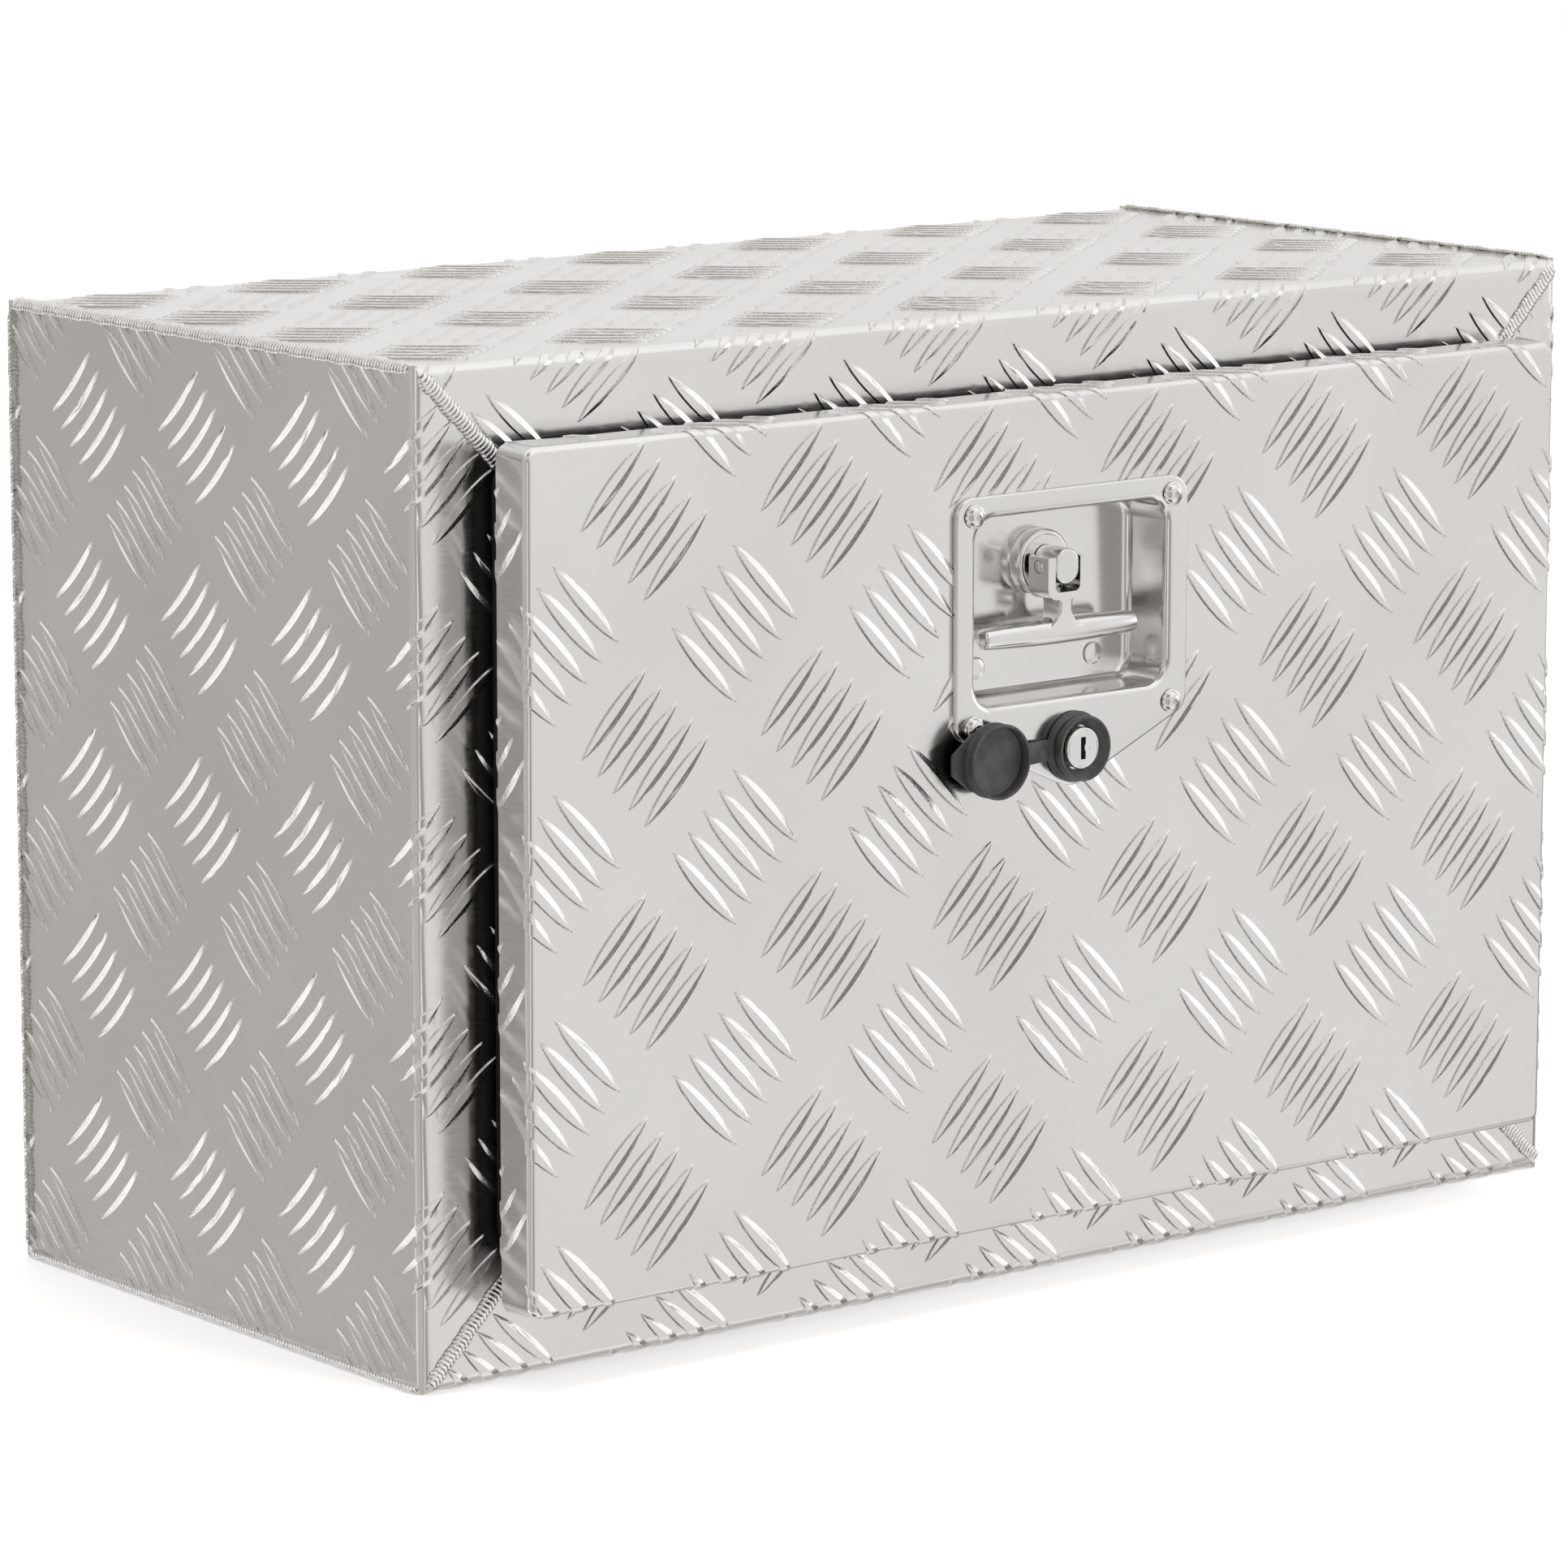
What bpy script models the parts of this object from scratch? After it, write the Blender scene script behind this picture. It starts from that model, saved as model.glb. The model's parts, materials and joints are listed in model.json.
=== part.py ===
"""Underbody truck tool box of aluminium tread plate, with a drop-down front door.

The case is four bent sheets: one that makes the top and the back, one for the bottom, and two sides.
Each has its own part of the front flange, mitred at the corners. The door is a pan that stands
ahead of the flange and drops forward on a long hinge at its bottom edge. A folding T-handle latch
in a steel dish turns a bar that comes up behind the top flange, and a key lock under it swings a
hooked tongue beside the bar's tail. A rubber cap on a strap closes over the lock.

Metres, +Z up, +X to the right of somebody who faces the door, -Y towards that person.
The origin is the centre of the case's underside.
"""

import math

import bmesh
import bpy
from mathutils import Vector

# Case
WIDTH = 0.610
DEPTH = 0.286
HEIGHT = 0.404
SHEET = 0.0025          # tread plate, measured over its bars
BEND = 0.006            # outer radius of a bend
FLANGE = 0.050          # front flange at the top and the sides
SILL = 0.062            # front flange at the bottom, wider because it carries the hinge
GAP = 0.0003            # left between pieces that touch
MITRE_GAP = 0.00025

# Door
DOOR_SIDE = 0.0305      # from the case's edge to the door's edge
DOOR_BELOW = 0.030
DOOR_ABOVE = 0.0305
DOOR_STAND = 0.030      # from the flange's face to the door's face
DOOR_CLEAR = 0.0086     # between the flange and the door's back
DOOR_CORNER = 0.006
DOOR_EDGE = 0.004       # outer radius of the folded edges
LIP = 0.030             # turned-in lip at the back of the door
LIP_BELOW = 0.032
SEAL_WIDTH = 0.012

# Hinge
HINGE_LENGTH = 0.500
HINGE_BEHIND = 0.0043   # from the flange's face forward to the pin
HINGE_ABOVE = 0.0032    # from the door's lower edge up to the pin
KNUCKLE = 0.004
KNUCKLES = 15
PIN_RADIUS = 0.0015
LEAF = 0.0012
LEAF_FOOT = 0.0042      # from the pin up to the flat of the leaf
LEAF_TOP = 0.0135
HINGE_RIVETS = (-0.220, -0.110, 0.0, 0.110, 0.220)
LUG_HEIGHT = 0.250      # eyes for the stay cables, on the case and on the door

# Latch, with heights from the middle of its four screws
LATCH_HEIGHT = 0.2842
SCREW_X = 0.053
SCREW_Z = 0.043
PLATE_HALF = 0.062
PLATE_TOP = 0.0506
PLATE_SHOULDER = -0.046
PLATE_TIP = -0.072
STEEL = 0.0015          # thickness of the pressed dish
DISH_HALF = 0.051
DISH_TOP = 0.0413
DISH_BOTTOM = -0.0353
DISH_CORNER = 0.010
DISH_DEPTH = 0.0245     # from the plate's face to the dish's floor
SPINDLE_Z = 0.0175
SPINDLE_RADIUS = 0.006
BUSH_HEIGHT = 0.007     # the bush's collar, above the dish's floor
PIN_DEPTH = 0.0098      # from the plate's face to the handle's cross pin
BAR_DROP = 0.027        # from the cross pin down to the hand bar
LATCH_TRAVEL = math.radians(55)

# Key lock and its cap
LOCK_Z = -0.056
LOCK_RADIUS = 0.0093
PLUG_RADIUS = 0.008
CAP_X = -0.047
CAP_RADIUS = 0.0155
STRAP_HALF = 0.0045

ROUND = 32              # sides of a round piece

# Planes and points that follow from the sizes above
FRONT = -DEPTH / 2
BACK = DEPTH / 2
DOOR_FRONT = FRONT - DOOR_STAND
DOOR_BACK = FRONT - DOOR_CLEAR
DOOR_HALF = WIDTH / 2 - DOOR_SIDE
DOOR_TOP = HEIGHT - DOOR_ABOVE
PLATE_FACE = DOOR_FRONT - GAP - STEEL
DISH_FLOOR = PLATE_FACE + DISH_DEPTH
BAR_FRONT = FRONT + 0.0045
BAR_BACK = FRONT + 0.0080
HINGE_AXIS = Vector((0, FRONT - HINGE_BEHIND, DOOR_BELOW + HINGE_ABOVE))
SPINDLE_AXIS = Vector((0, FRONT, LATCH_HEIGHT + SPINDLE_Z))
FOLD_AXIS = Vector((0, PLATE_FACE + PIN_DEPTH, SPINDLE_AXIS.z))
KEY_AXIS = Vector((0, FRONT, LATCH_HEIGHT + LOCK_Z))
CAP_AXIS = Vector((CAP_X / 2, FRONT - 0.03895, KEY_AXIS.z))

# Colour, metallic value and roughness of each kind of material
FINISHES = {
    "tread_plate": ((0.82, 0.81, 0.79), 1.0, 0.22),
    "stainless": ((0.78, 0.77, 0.75), 1.0, 0.15),
    "zinc": ((0.66, 0.67, 0.68), 1.0, 0.35),
    "rubber": ((0.02, 0.02, 0.021), 0.0, 0.6),
}


# ---------------------------------------------------------------- tools

def finish(kind, name):
    """A material of one kind, for the object of that name."""
    colour, metallic, roughness = FINISHES[kind]
    material = bpy.data.materials.new(name + "_finish")
    material.use_nodes = True
    shader = material.node_tree.nodes["Principled BSDF"]
    shader.inputs["Base Color"].default_value = (*colour, 1.0)
    shader.inputs["Metallic"].default_value = metallic
    shader.inputs["Roughness"].default_value = roughness
    material.diffuse_color = (*colour, 1.0)
    return material


def make(name, bm):
    """Turn a bmesh into an object with its faces pointing out."""
    bmesh.ops.remove_doubles(bm, verts=bm.verts, dist=1e-7)
    bmesh.ops.recalc_face_normals(bm, faces=bm.faces)
    mesh = bpy.data.meshes.new(name)
    bm.to_mesh(mesh)
    bm.free()
    obj = bpy.data.objects.new(name, mesh)
    bpy.context.collection.objects.link(obj)
    return obj


def place(point, across, plane):
    """The 3-D point for a point of a drawing plane and a distance across it."""
    first, second = point
    return {
        "xz": Vector((first, across, second)),
        "yz": Vector((across, first, second)),
        "xy": Vector((first, second, across)),
    }[plane]


def prism(name, outline, low, high, plane="xz"):
    """A flat outline carried from low to high across its plane."""
    bm = bmesh.new()
    ends = [[bm.verts.new(place(p, across, plane)) for p in outline] for across in (low, high)]
    bm.faces.new(ends[0])
    bm.faces.new(ends[1])
    for i in range(len(outline)):
        j = (i + 1) % len(outline)
        bm.faces.new((ends[0][i], ends[0][j], ends[1][j], ends[1][i]))
    return make(name, bm)


def box(name, low, high):
    """A block between two opposite corners."""
    outline = [(low[0], low[2]), (high[0], low[2]), (high[0], high[2]), (low[0], high[2])]
    return prism(name, outline, low[1], high[1])


def frame(name, outer, inner, low, high):
    """A flat ring between two outlines with as many points each."""
    bm = bmesh.new()
    rings = []
    for outline, across in ((outer, low), (outer, high), (inner, high), (inner, low)):
        rings.append([bm.verts.new(place(p, across, "xz")) for p in outline])
    count = len(outer)
    for r in range(4):
        near, far = rings[r], rings[(r + 1) % 4]
        for i in range(count):
            j = (i + 1) % count
            bm.faces.new((near[i], near[j], far[j], far[i]))
    return make(name, bm)


def arc(centre, radius, start, end, steps):
    """Points along an arc, both ends among them."""
    angles = [start + (end - start) * i / steps for i in range(steps + 1)]
    return [(centre[0] + radius * math.cos(a), centre[1] + radius * math.sin(a)) for a in angles]


def rounded(corners, radii, steps=5):
    """An outline with each corner rounded by its own radius."""
    outline = []
    for i, corner in enumerate(corners):
        here = Vector(corner)
        back = (Vector(corners[i - 1]) - here).normalized()
        ahead = (Vector(corners[(i + 1) % len(corners)]) - here).normalized()
        half = back.angle(ahead) / 2
        radius = radii[i]
        centre = here + (back + ahead).normalized() * radius / math.sin(half)
        start = here + back * radius / math.tan(half) - centre
        end = here + ahead * radius / math.tan(half) - centre
        turn = start.angle_signed(end)
        first = math.atan2(start.y, start.x)
        outline += arc(centre, radius, first, first - turn, steps)
    return outline


def rounded_box_outline(low, high, radius, steps=5):
    """A rectangle with rounded corners."""
    corners = [(low[0], low[1]), (high[0], low[1]), (high[0], high[1]), (low[0], high[1])]
    return rounded(corners, [radius] * 4, steps)


def circle(centre, radius, sides=ROUND):
    """Points round a circle."""
    return arc(centre, radius, 0, 2 * math.pi * (1 - 1 / sides), sides - 1)


def hexagon(centre, across_flats):
    """The outline of a hexagon nut."""
    return circle(centre, across_flats / math.sqrt(3), 6)


def bent_sheet(name, path, low, high, plane, steps=6):
    """A sheet folded along a path of its outer face, with its body to the right of the path."""
    outer, inner = [], []
    for i, corner in enumerate(path):
        here = Vector(corner)
        if i == 0 or i == len(path) - 1:
            run = (Vector(path[1]) - here) if i == 0 else (here - Vector(path[i - 1]))
            run.normalize()
            outer.append(here)
            inner.append(here + Vector((run.y, -run.x)) * SHEET)
            continue
        run = (here - Vector(path[i - 1])).normalized()
        inward = Vector((run.y, -run.x))
        centre = here - run * BEND + inward * BEND
        for step in range(steps + 1):
            turn = math.pi / 2 * step / steps
            out = -inward * math.cos(turn) + run * math.sin(turn)
            outer.append(centre + out * BEND)
            inner.append(centre + out * (BEND - SHEET))
    bm = bmesh.new()
    rings = []
    for chain, across in ((outer, low), (outer, high), (inner, high), (inner, low)):
        rings.append([bm.verts.new(place(p, across, plane)) for p in chain])
    for r in range(4):
        near, far = rings[r], rings[(r + 1) % 4]
        for i in range(len(outer) - 1):
            bm.faces.new((near[i], near[i + 1], far[i + 1], far[i]))
    for end in (0, -1):
        bm.faces.new([ring[end] for ring in rings])
    return make(name, bm)


def turned(name, profile, centre, axis="y", closed=False, sides=ROUND):
    """A profile of (radius, distance along the axis) spun round an axis through the centre."""
    bm = bmesh.new()
    rings = []
    for radius, along in profile:
        ring = []
        for i in range(sides):
            angle = 2 * math.pi * i / sides
            first, second = radius * math.cos(angle), radius * math.sin(angle)
            offset = (first, along, second) if axis == "y" else (along, first, second)
            ring.append(bm.verts.new(Vector(centre) + Vector(offset)))
            if radius == 0:
                break
        rings.append(ring)
    pairs = list(zip(rings, rings[1:]))
    if closed:
        pairs.append((rings[-1], rings[0]))
    for near, far in pairs:
        for i in range(sides):
            j = (i + 1) % sides
            corners = [near[i % len(near)], near[j % len(near)], far[j % len(far)], far[i % len(far)]]
            face = list(dict.fromkeys(corners))
            if len(face) > 2:
                bm.faces.new(face)
    return make(name, bm)


def rod(name, radius, start, end, centre, axis="y", sides=ROUND):
    """A plain round bar."""
    return turned(name, [(0, start), (radius, start), (radius, end), (0, end)], centre, axis, sides=sides)


def combine(target, tool, operation):
    """Add a tool's shape to the target, or take it away, and remove the tool."""
    modifier = target.modifiers.new("shape", "BOOLEAN")
    modifier.operation = operation
    modifier.object = tool
    modifier.solver = "EXACT"
    bpy.context.view_layer.update()
    graph = bpy.context.evaluated_depsgraph_get()
    mesh = bpy.data.meshes.new_from_object(target.evaluated_get(graph))
    target.modifiers.clear()
    old = target.data
    target.data = mesh
    bpy.data.meshes.remove(old)
    bpy.data.objects.remove(tool)


def add(target, *tools):
    for tool in tools:
        combine(target, tool, "UNION")


def cut(target, *tools):
    for tool in tools:
        combine(target, tool, "DIFFERENCE")


def pivot(name, point, parent=None):
    """An empty on a joint's axis."""
    empty = bpy.data.objects.new(name, None)
    bpy.context.collection.objects.link(empty)
    empty.empty_display_size = 0.02
    empty["point"] = point
    empty.location = point
    if parent:
        empty.parent = parent
        empty.location = point - Vector(parent["point"])
    return empty


def complete(obj, kind, carrier=None):
    """Give an object its material, its shading and the pivot that carries it."""
    obj.data.materials.clear()
    obj.data.materials.append(finish(kind, obj.name))
    obj.data.shade_smooth()
    obj.data.set_sharp_from_angle(angle=math.radians(35))
    if carrier:
        obj.parent = carrier
        obj.location = -Vector(carrier["point"])


# ---------------------------------------------------------------- case

def mitre_cutter(points, side):
    """A cutter for a flange's mitred end, drawn from the case's edge inwards."""
    outline = [(side * (x - WIDTH / 2), z) for x, z in points]
    return prism("cutter", outline, FRONT - 0.001, FRONT + BEND)


def case_top_back():
    inside = WIDTH / 2 - SHEET - GAP
    path = [(FRONT, HEIGHT - FLANGE), (FRONT, HEIGHT), (BACK, HEIGHT), (BACK, SHEET + GAP)]
    sheet = bent_sheet("case_top_back", path, -inside, inside, "yz")
    over = 0.005
    corner = [
        (MITRE_GAP - over, HEIGHT + over),
        (FLANGE + MITRE_GAP + over, HEIGHT - FLANGE - over),
        (-2 * over, HEIGHT - FLANGE - over),
        (-2 * over, HEIGHT + over),
    ]
    for side in (1, -1):
        cut(sheet, mitre_cutter(corner, side))
    complete(sheet, "tread_plate")


def case_bottom():
    inside = WIDTH / 2 - SHEET - GAP
    path = [(BACK, 0), (FRONT, 0), (FRONT, SILL)]
    sheet = bent_sheet("case_bottom", path, -inside, inside, "yz")
    over = 0.005
    corner = [
        (MITRE_GAP - over, -over),
        (FLANGE + MITRE_GAP, FLANGE),
        (FLANGE + GAP, SILL + over),
        (-2 * over, SILL + over),
        (-2 * over, -over),
    ]
    for side in (1, -1):
        cut(sheet, mitre_cutter(corner, side))
    for x in HINGE_RIVETS:
        cut(sheet, rod("cutter", 0.0019, -0.001, 0.004, (x, FRONT, HINGE_AXIS.z + 0.009), sides=16))
    complete(sheet, "tread_plate")


def case_side(name, side):
    """One side, with the mitred flange at its front. side is 1 on the left and -1 on the right."""
    edge = -side * WIDTH / 2
    path = [(edge + side * FLANGE, FRONT), (edge, FRONT), (edge, BACK)]
    sheet = bent_sheet(name, path[::side], 0, HEIGHT, "xy")
    over = 0.005
    near = SHEET + GAP / 2
    far = FLANGE + over
    upper = [
        (near, HEIGHT - near - MITRE_GAP),
        (far, HEIGHT - far - MITRE_GAP),
        (far, HEIGHT + over),
        (near, HEIGHT + over),
    ]
    lower = [(near, near + MITRE_GAP), (far, far + MITRE_GAP), (far, -over), (near, -over)]
    cut(sheet, mitre_cutter(upper, side), mitre_cutter(lower, side))
    complete(sheet, "tread_plate")


def strike_plate():
    low = (-0.025, FRONT + SHEET + GAP, HEIGHT - FLANGE + 0.002)
    high = (0.025, FRONT + SHEET + GAP + LEAF, HEIGHT - BEND - 0.010)
    complete(box("strike_plate", low, high), "stainless")


def stay_lug(name, foot, ear, eye, axis, carrier=None):
    """A welded lug: a foot against the sheet and an ear with an eye for a stay cable."""
    lug = box(name, *foot)
    add(lug, box("ear", *ear))
    cut(lug, rod("eye", 0.0025, -0.01, 0.01, eye, axis=axis, sides=16))
    complete(lug, "zinc", carrier)


def stay_lugs(door):
    z, low, high = LUG_HEIGHT, LUG_HEIGHT - 0.009, LUG_HEIGHT + 0.009
    thick, sink = 0.002, 0.0005
    for name, side in (("left", -1), ("right", 1)):
        y = FRONT + 0.030
        wall = side * (WIDTH / 2 - SHEET - GAP)
        near, far = sorted((wall, wall - side * thick))
        tip, root = sorted((wall - side * 0.014, wall - side * (thick - sink)))
        stay_lug("stay_lug_case_" + name,
                 ((near, y - 0.010, low - 0.003), (far, y + 0.010, high + 0.003)),
                 ((tip, y - 0.001, low), (root, y + 0.001, high)),
                 (wall - side * 0.008, y, z), "y")
        x, foot = side * 0.250, DOOR_BACK + GAP
        stay_lug("stay_lug_door_" + name,
                 ((x - 0.005, foot, low - 0.003), (x + 0.005, foot + thick, high + 0.003)),
                 ((x - 0.001, foot + thick - sink, low), (x + 0.001, foot + 0.016, high)),
                 (x, foot + 0.010, z), "x", door)


# ---------------------------------------------------------------- door and hinge

def door_panel(door):
    outline = rounded_box_outline((-DOOR_HALF, DOOR_BELOW), (DOOR_HALF, DOOR_TOP), DOOR_CORNER)
    panel = prism("door_panel", outline, DOOR_FRONT, DOOR_BACK)
    bm = bmesh.new()
    bm.from_mesh(panel.data)
    edges = [e for e in bm.edges if all(abs(v.co.y - DOOR_FRONT) < 1e-6 for v in e.verts)]
    bmesh.ops.bevel(bm, geom=edges, offset=DOOR_EDGE, segments=4, profile=0.5, affect="EDGES")
    bm.to_mesh(panel.data)
    bm.free()
    half = DOOR_HALF - SHEET
    inner = rounded_box_outline((-half, DOOR_BELOW + SHEET), (half, DOOR_TOP - SHEET),
                                DOOR_CORNER - SHEET)
    cut(panel, prism("cutter", inner, DOOR_FRONT + SHEET, DOOR_BACK - SHEET))
    half = DOOR_HALF - LIP
    mouth = rounded_box_outline((-half, DOOR_BELOW + LIP_BELOW), (half, DOOR_TOP - LIP), 0.003)
    cut(panel, prism("cutter", mouth, DOOR_BACK - 2 * SHEET, DOOR_BACK + SHEET))
    clear = STEEL + 0.0005
    hole = rounded_box_outline(
        (-DISH_HALF - clear, LATCH_HEIGHT + DISH_BOTTOM - clear),
        (DISH_HALF + clear, LATCH_HEIGHT + DISH_TOP + clear), DISH_CORNER + clear)
    cut(panel, prism("cutter", hole, DOOR_FRONT - SHEET, DOOR_FRONT + 2 * SHEET))
    cut(panel, rod("cutter", LOCK_RADIUS + 0.0005, -0.035, -0.020, KEY_AXIS))
    for x, z in screw_places():
        cut(panel, rod("cutter", 0.0029, -0.035, -0.020, (x, FRONT, z), sides=16))
    for x in HINGE_RIVETS:
        cut(panel, rod("cutter", 0.0019, -0.012, -0.006, (x, FRONT, HINGE_AXIS.z + 0.009), sides=16))
    complete(panel, "tread_plate", door)


def door_seal(door):
    """A rubber strip round the back of the door, which meets the case's flange."""
    side = DOOR_HALF - 0.002
    low = HINGE_AXIS.z + LEAF_TOP + 0.0018
    high = DOOR_TOP - 0.0025
    outer = rounded_box_outline((-side, low), (side, high), 0.010)
    inner = rounded_box_outline((-side + SEAL_WIDTH, low + SEAL_WIDTH),
                                (side - SEAL_WIDTH, high - SEAL_WIDTH), 0.004)
    seal = frame("door_seal", outer, inner, DOOR_BACK + GAP, FRONT - GAP)
    complete(seal, "rubber", door)


def hinge_leaf(name, side, first, carrier=None):
    """One leaf. side is 1 against the case and -1 against the door; first is its first knuckle."""
    pitch = HINGE_LENGTH / KNUCKLES
    wall = sorted((HINGE_AXIS.y + side * (KNUCKLE - LEAF), HINGE_AXIS.y + side * KNUCKLE))
    start = -HINGE_LENGTH / 2
    leaf = box(name, (start, wall[0], HINGE_AXIS.z + LEAF_FOOT),
               (-start, wall[1], HINGE_AXIS.z + LEAF_TOP))
    rise = math.acos(1 - LEAF / KNUCKLE)
    curl = [(KNUCKLE, LEAF_FOOT + 0.0005)]
    curl += arc((0, 0), KNUCKLE, 0, rise - 2 * math.pi, 18)
    curl += [(KNUCKLE - LEAF, LEAF_FOOT + 0.0005)]
    curl = [(HINGE_AXIS.y + side * y, HINGE_AXIS.z + z) for y, z in curl]
    for i in range(first, KNUCKLES, 2):
        low = start + i * pitch + GAP / 2
        high = start + (i + 1) * pitch - GAP / 2
        add(leaf, prism("knuckle", curl, low, high, "yz"))
    cut(leaf, rod("bore", PIN_RADIUS + GAP, start - 0.01, -start + 0.01, HINGE_AXIS, axis="x", sides=16))
    for x in HINGE_RIVETS:
        cut(leaf, rod("hole", 0.0019, -0.004, 0.004, (x, sum(wall) / 2, HINGE_AXIS.z + 0.009), sides=16))
    complete(leaf, "stainless", carrier)


def rivet(name, head_at, side, grip, x, z, carrier=None, head=0.0035, shank=0.0016):
    """A rivet whose head is at head_at and whose shank runs the way that side says."""
    profile = [
        (0, -0.0012), (head * 0.55, -0.0010), (head * 0.9, -0.0005), (head, 0),
        (shank, 0), (shank, grip), (head * 0.8, grip), (head * 0.8, grip + 0.0011), (0, grip + 0.0014),
    ]
    profile = [(radius, side * along) for radius, along in profile]
    complete(turned(name, profile, (x, head_at, z), sides=16), "stainless", carrier)


def hinge(door):
    hinge_leaf("hinge_case_leaf", 1, 0)
    hinge_leaf("hinge_door_leaf", -1, 1, door)
    half = HINGE_LENGTH / 2 + 0.001
    complete(rod("hinge_pin", PIN_RADIUS, -half, half, HINGE_AXIS, axis="x", sides=16), "stainless")
    z = HINGE_AXIS.z + 0.009
    case_head = HINGE_AXIS.y + KNUCKLE - LEAF - GAP
    door_head = HINGE_AXIS.y - KNUCKLE + LEAF + GAP
    for i, x in enumerate(HINGE_RIVETS, 1):
        rivet(f"hinge_case_rivet_{i}", case_head, 1, LEAF + SHEET + 3 * GAP, x, z)
        rivet(f"hinge_door_rivet_{i}", door_head, -1, LEAF + SHEET + 3 * GAP, x, z, door)


# ---------------------------------------------------------------- latch

def screw_places():
    """The four latch screws, from the upper left round to the lower left."""
    signs = ((-1, 1), (1, 1), (1, -1), (-1, -1))
    return [(sx * SCREW_X, LATCH_HEIGHT + sz * SCREW_Z) for sx, sz in signs]


def dish_rivet_places():
    return [(side * 0.0316, LATCH_HEIGHT - 0.024) for side in (-1, 1)]


def latch_dish(door):
    corners = [(-PLATE_HALF, PLATE_TOP), (PLATE_HALF, PLATE_TOP), (PLATE_HALF, PLATE_SHOULDER),
               (0, PLATE_TIP), (-PLATE_HALF, PLATE_SHOULDER)]
    corners = [(x, LATCH_HEIGHT + z) for x, z in corners]
    outline = rounded(corners, [0.008, 0.008, 0.008, 0.014, 0.008])
    dish = prism("latch_dish", outline, PLATE_FACE, PLATE_FACE + STEEL)
    low, high = LATCH_HEIGHT + DISH_BOTTOM, LATCH_HEIGHT + DISH_TOP
    shell = rounded_box_outline((-DISH_HALF - STEEL, low - STEEL), (DISH_HALF + STEEL, high + STEEL),
                                DISH_CORNER + STEEL)
    add(dish, prism("shell", shell, PLATE_FACE + STEEL / 2, DISH_FLOOR + STEEL))
    cavity = rounded_box_outline((-DISH_HALF, low), (DISH_HALF, high), DISH_CORNER)
    cut(dish, prism("cavity", cavity, PLATE_FACE - STEEL, DISH_FLOOR))
    cut(dish, rod("hole", LOCK_RADIUS + 0.0005, -0.035, -0.025, KEY_AXIS))
    cut(dish, rod("hole", 0.0083, -0.015, 0, SPINDLE_AXIS))
    for x, z in screw_places():
        cut(dish, rod("hole", 0.0028, -0.035, -0.025, (x, FRONT, z), sides=16))
    for x, z in dish_rivet_places():
        cut(dish, rod("hole", 0.0028, -0.015, 0, (x, FRONT, z), sides=16))
    complete(dish, "stainless", door)


def latch_screws(door):
    """Button-head screws with a collar under the head, and the nuts behind the door's sheet."""
    head = PLATE_FACE - GAP
    profile = [(0, -0.0015), (0.0015, -0.0015), (0.0015, -0.0028), (0.0026, -0.0028), (0.0038, -0.0020),
               (0.0042, -0.0010), (0.0049, -0.0009), (0.0049, 0), (0.0025, 0), (0.0025, 0.0105),
               (0, 0.0105)]
    for i, (x, z) in enumerate(screw_places(), 1):
        complete(turned(f"latch_screw_{i}", profile, (x, head, z), sides=24), "stainless", door)
        low = DOOR_FRONT + SHEET + GAP
        nut = prism(f"latch_nut_{i}", hexagon((x, z), 0.008), low, low + 0.004)
        cut(nut, rod("bore", 0.0028, -0.01, 0.01, (x, low, z), sides=16))
        complete(nut, "zinc", door)


def spindle_bearing(door):
    """The bush that stands on the dish's floor, and the plate riveted behind the floor."""
    face = DISH_FLOOR - BUSH_HEIGHT
    bore = SPINDLE_RADIUS + GAP
    profile = [(bore, face), (0.0120, face), (0.0133, face + 0.0006), (0.0138, face + 0.0018),
               (0.0138, DISH_FLOOR - GAP), (0.0080, DISH_FLOOR - GAP), (0.0080, FRONT - 0.0015),
               (bore, FRONT - 0.0015)]
    centre = (SPINDLE_AXIS.x, 0, SPINDLE_AXIS.z)
    complete(turned("spindle_bush", profile, centre, closed=True), "stainless", door)
    low = DISH_FLOOR + STEEL + GAP
    outline = rounded_box_outline((-0.040, LATCH_HEIGHT - 0.033),
                                  (0.040, LATCH_HEIGHT + 0.038), 0.006)
    plate = prism("latch_back_plate", outline, low, low + 0.002)
    cut(plate, rod("bore", 0.0083, -0.015, 0.005, SPINDLE_AXIS))
    for i, (x, z) in enumerate(dish_rivet_places(), 1):
        cut(plate, rod("hole", 0.0028, -0.015, 0.005, (x, FRONT, z), sides=16))
        rivet(f"dish_rivet_{i}", DISH_FLOOR - GAP, 1, STEEL + 0.002 + 3 * GAP, x, z, door,
              head=0.0048, shank=0.0025)
    complete(plate, "zinc", door)


def spindle(turning):
    """The shaft: a flat-sided head for the handle, a round bearing, a square and a threaded end."""
    x, z = SPINDLE_AXIS.x, SPINDLE_AXIS.z
    head = rounded_box_outline((x - 0.0062, z - 0.0074), (x + 0.0062, z + 0.0074), 0.0055)
    shaft = prism("spindle", head, FOLD_AXIS.y - 0.0062, DISH_FLOOR - BUSH_HEIGHT - GAP)
    low = DISH_FLOOR - BUSH_HEIGHT - 0.0015
    add(shaft, rod("round", SPINDLE_RADIUS, low, BAR_FRONT - GAP, (x, 0, z)))
    square = rounded_box_outline((x - 0.004, z - 0.004), (x + 0.004, z + 0.004), 0.0008)
    add(shaft, prism("square", square, BAR_FRONT - 0.001, BAR_BACK - 0.0002))
    add(shaft, rod("thread", 0.0038, BAR_BACK - 0.001, BAR_BACK + 0.0085, (x, 0, z)))
    cut(shaft, rod("bore", 0.0028, -0.02, 0.02, FOLD_AXIS, axis="x", sides=20))
    complete(shaft, "stainless", turning)
    complete(rod("handle_pin", 0.0025, -0.0104, 0.0104, FOLD_AXIS, axis="x", sides=20),
             "stainless", turning)


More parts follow.
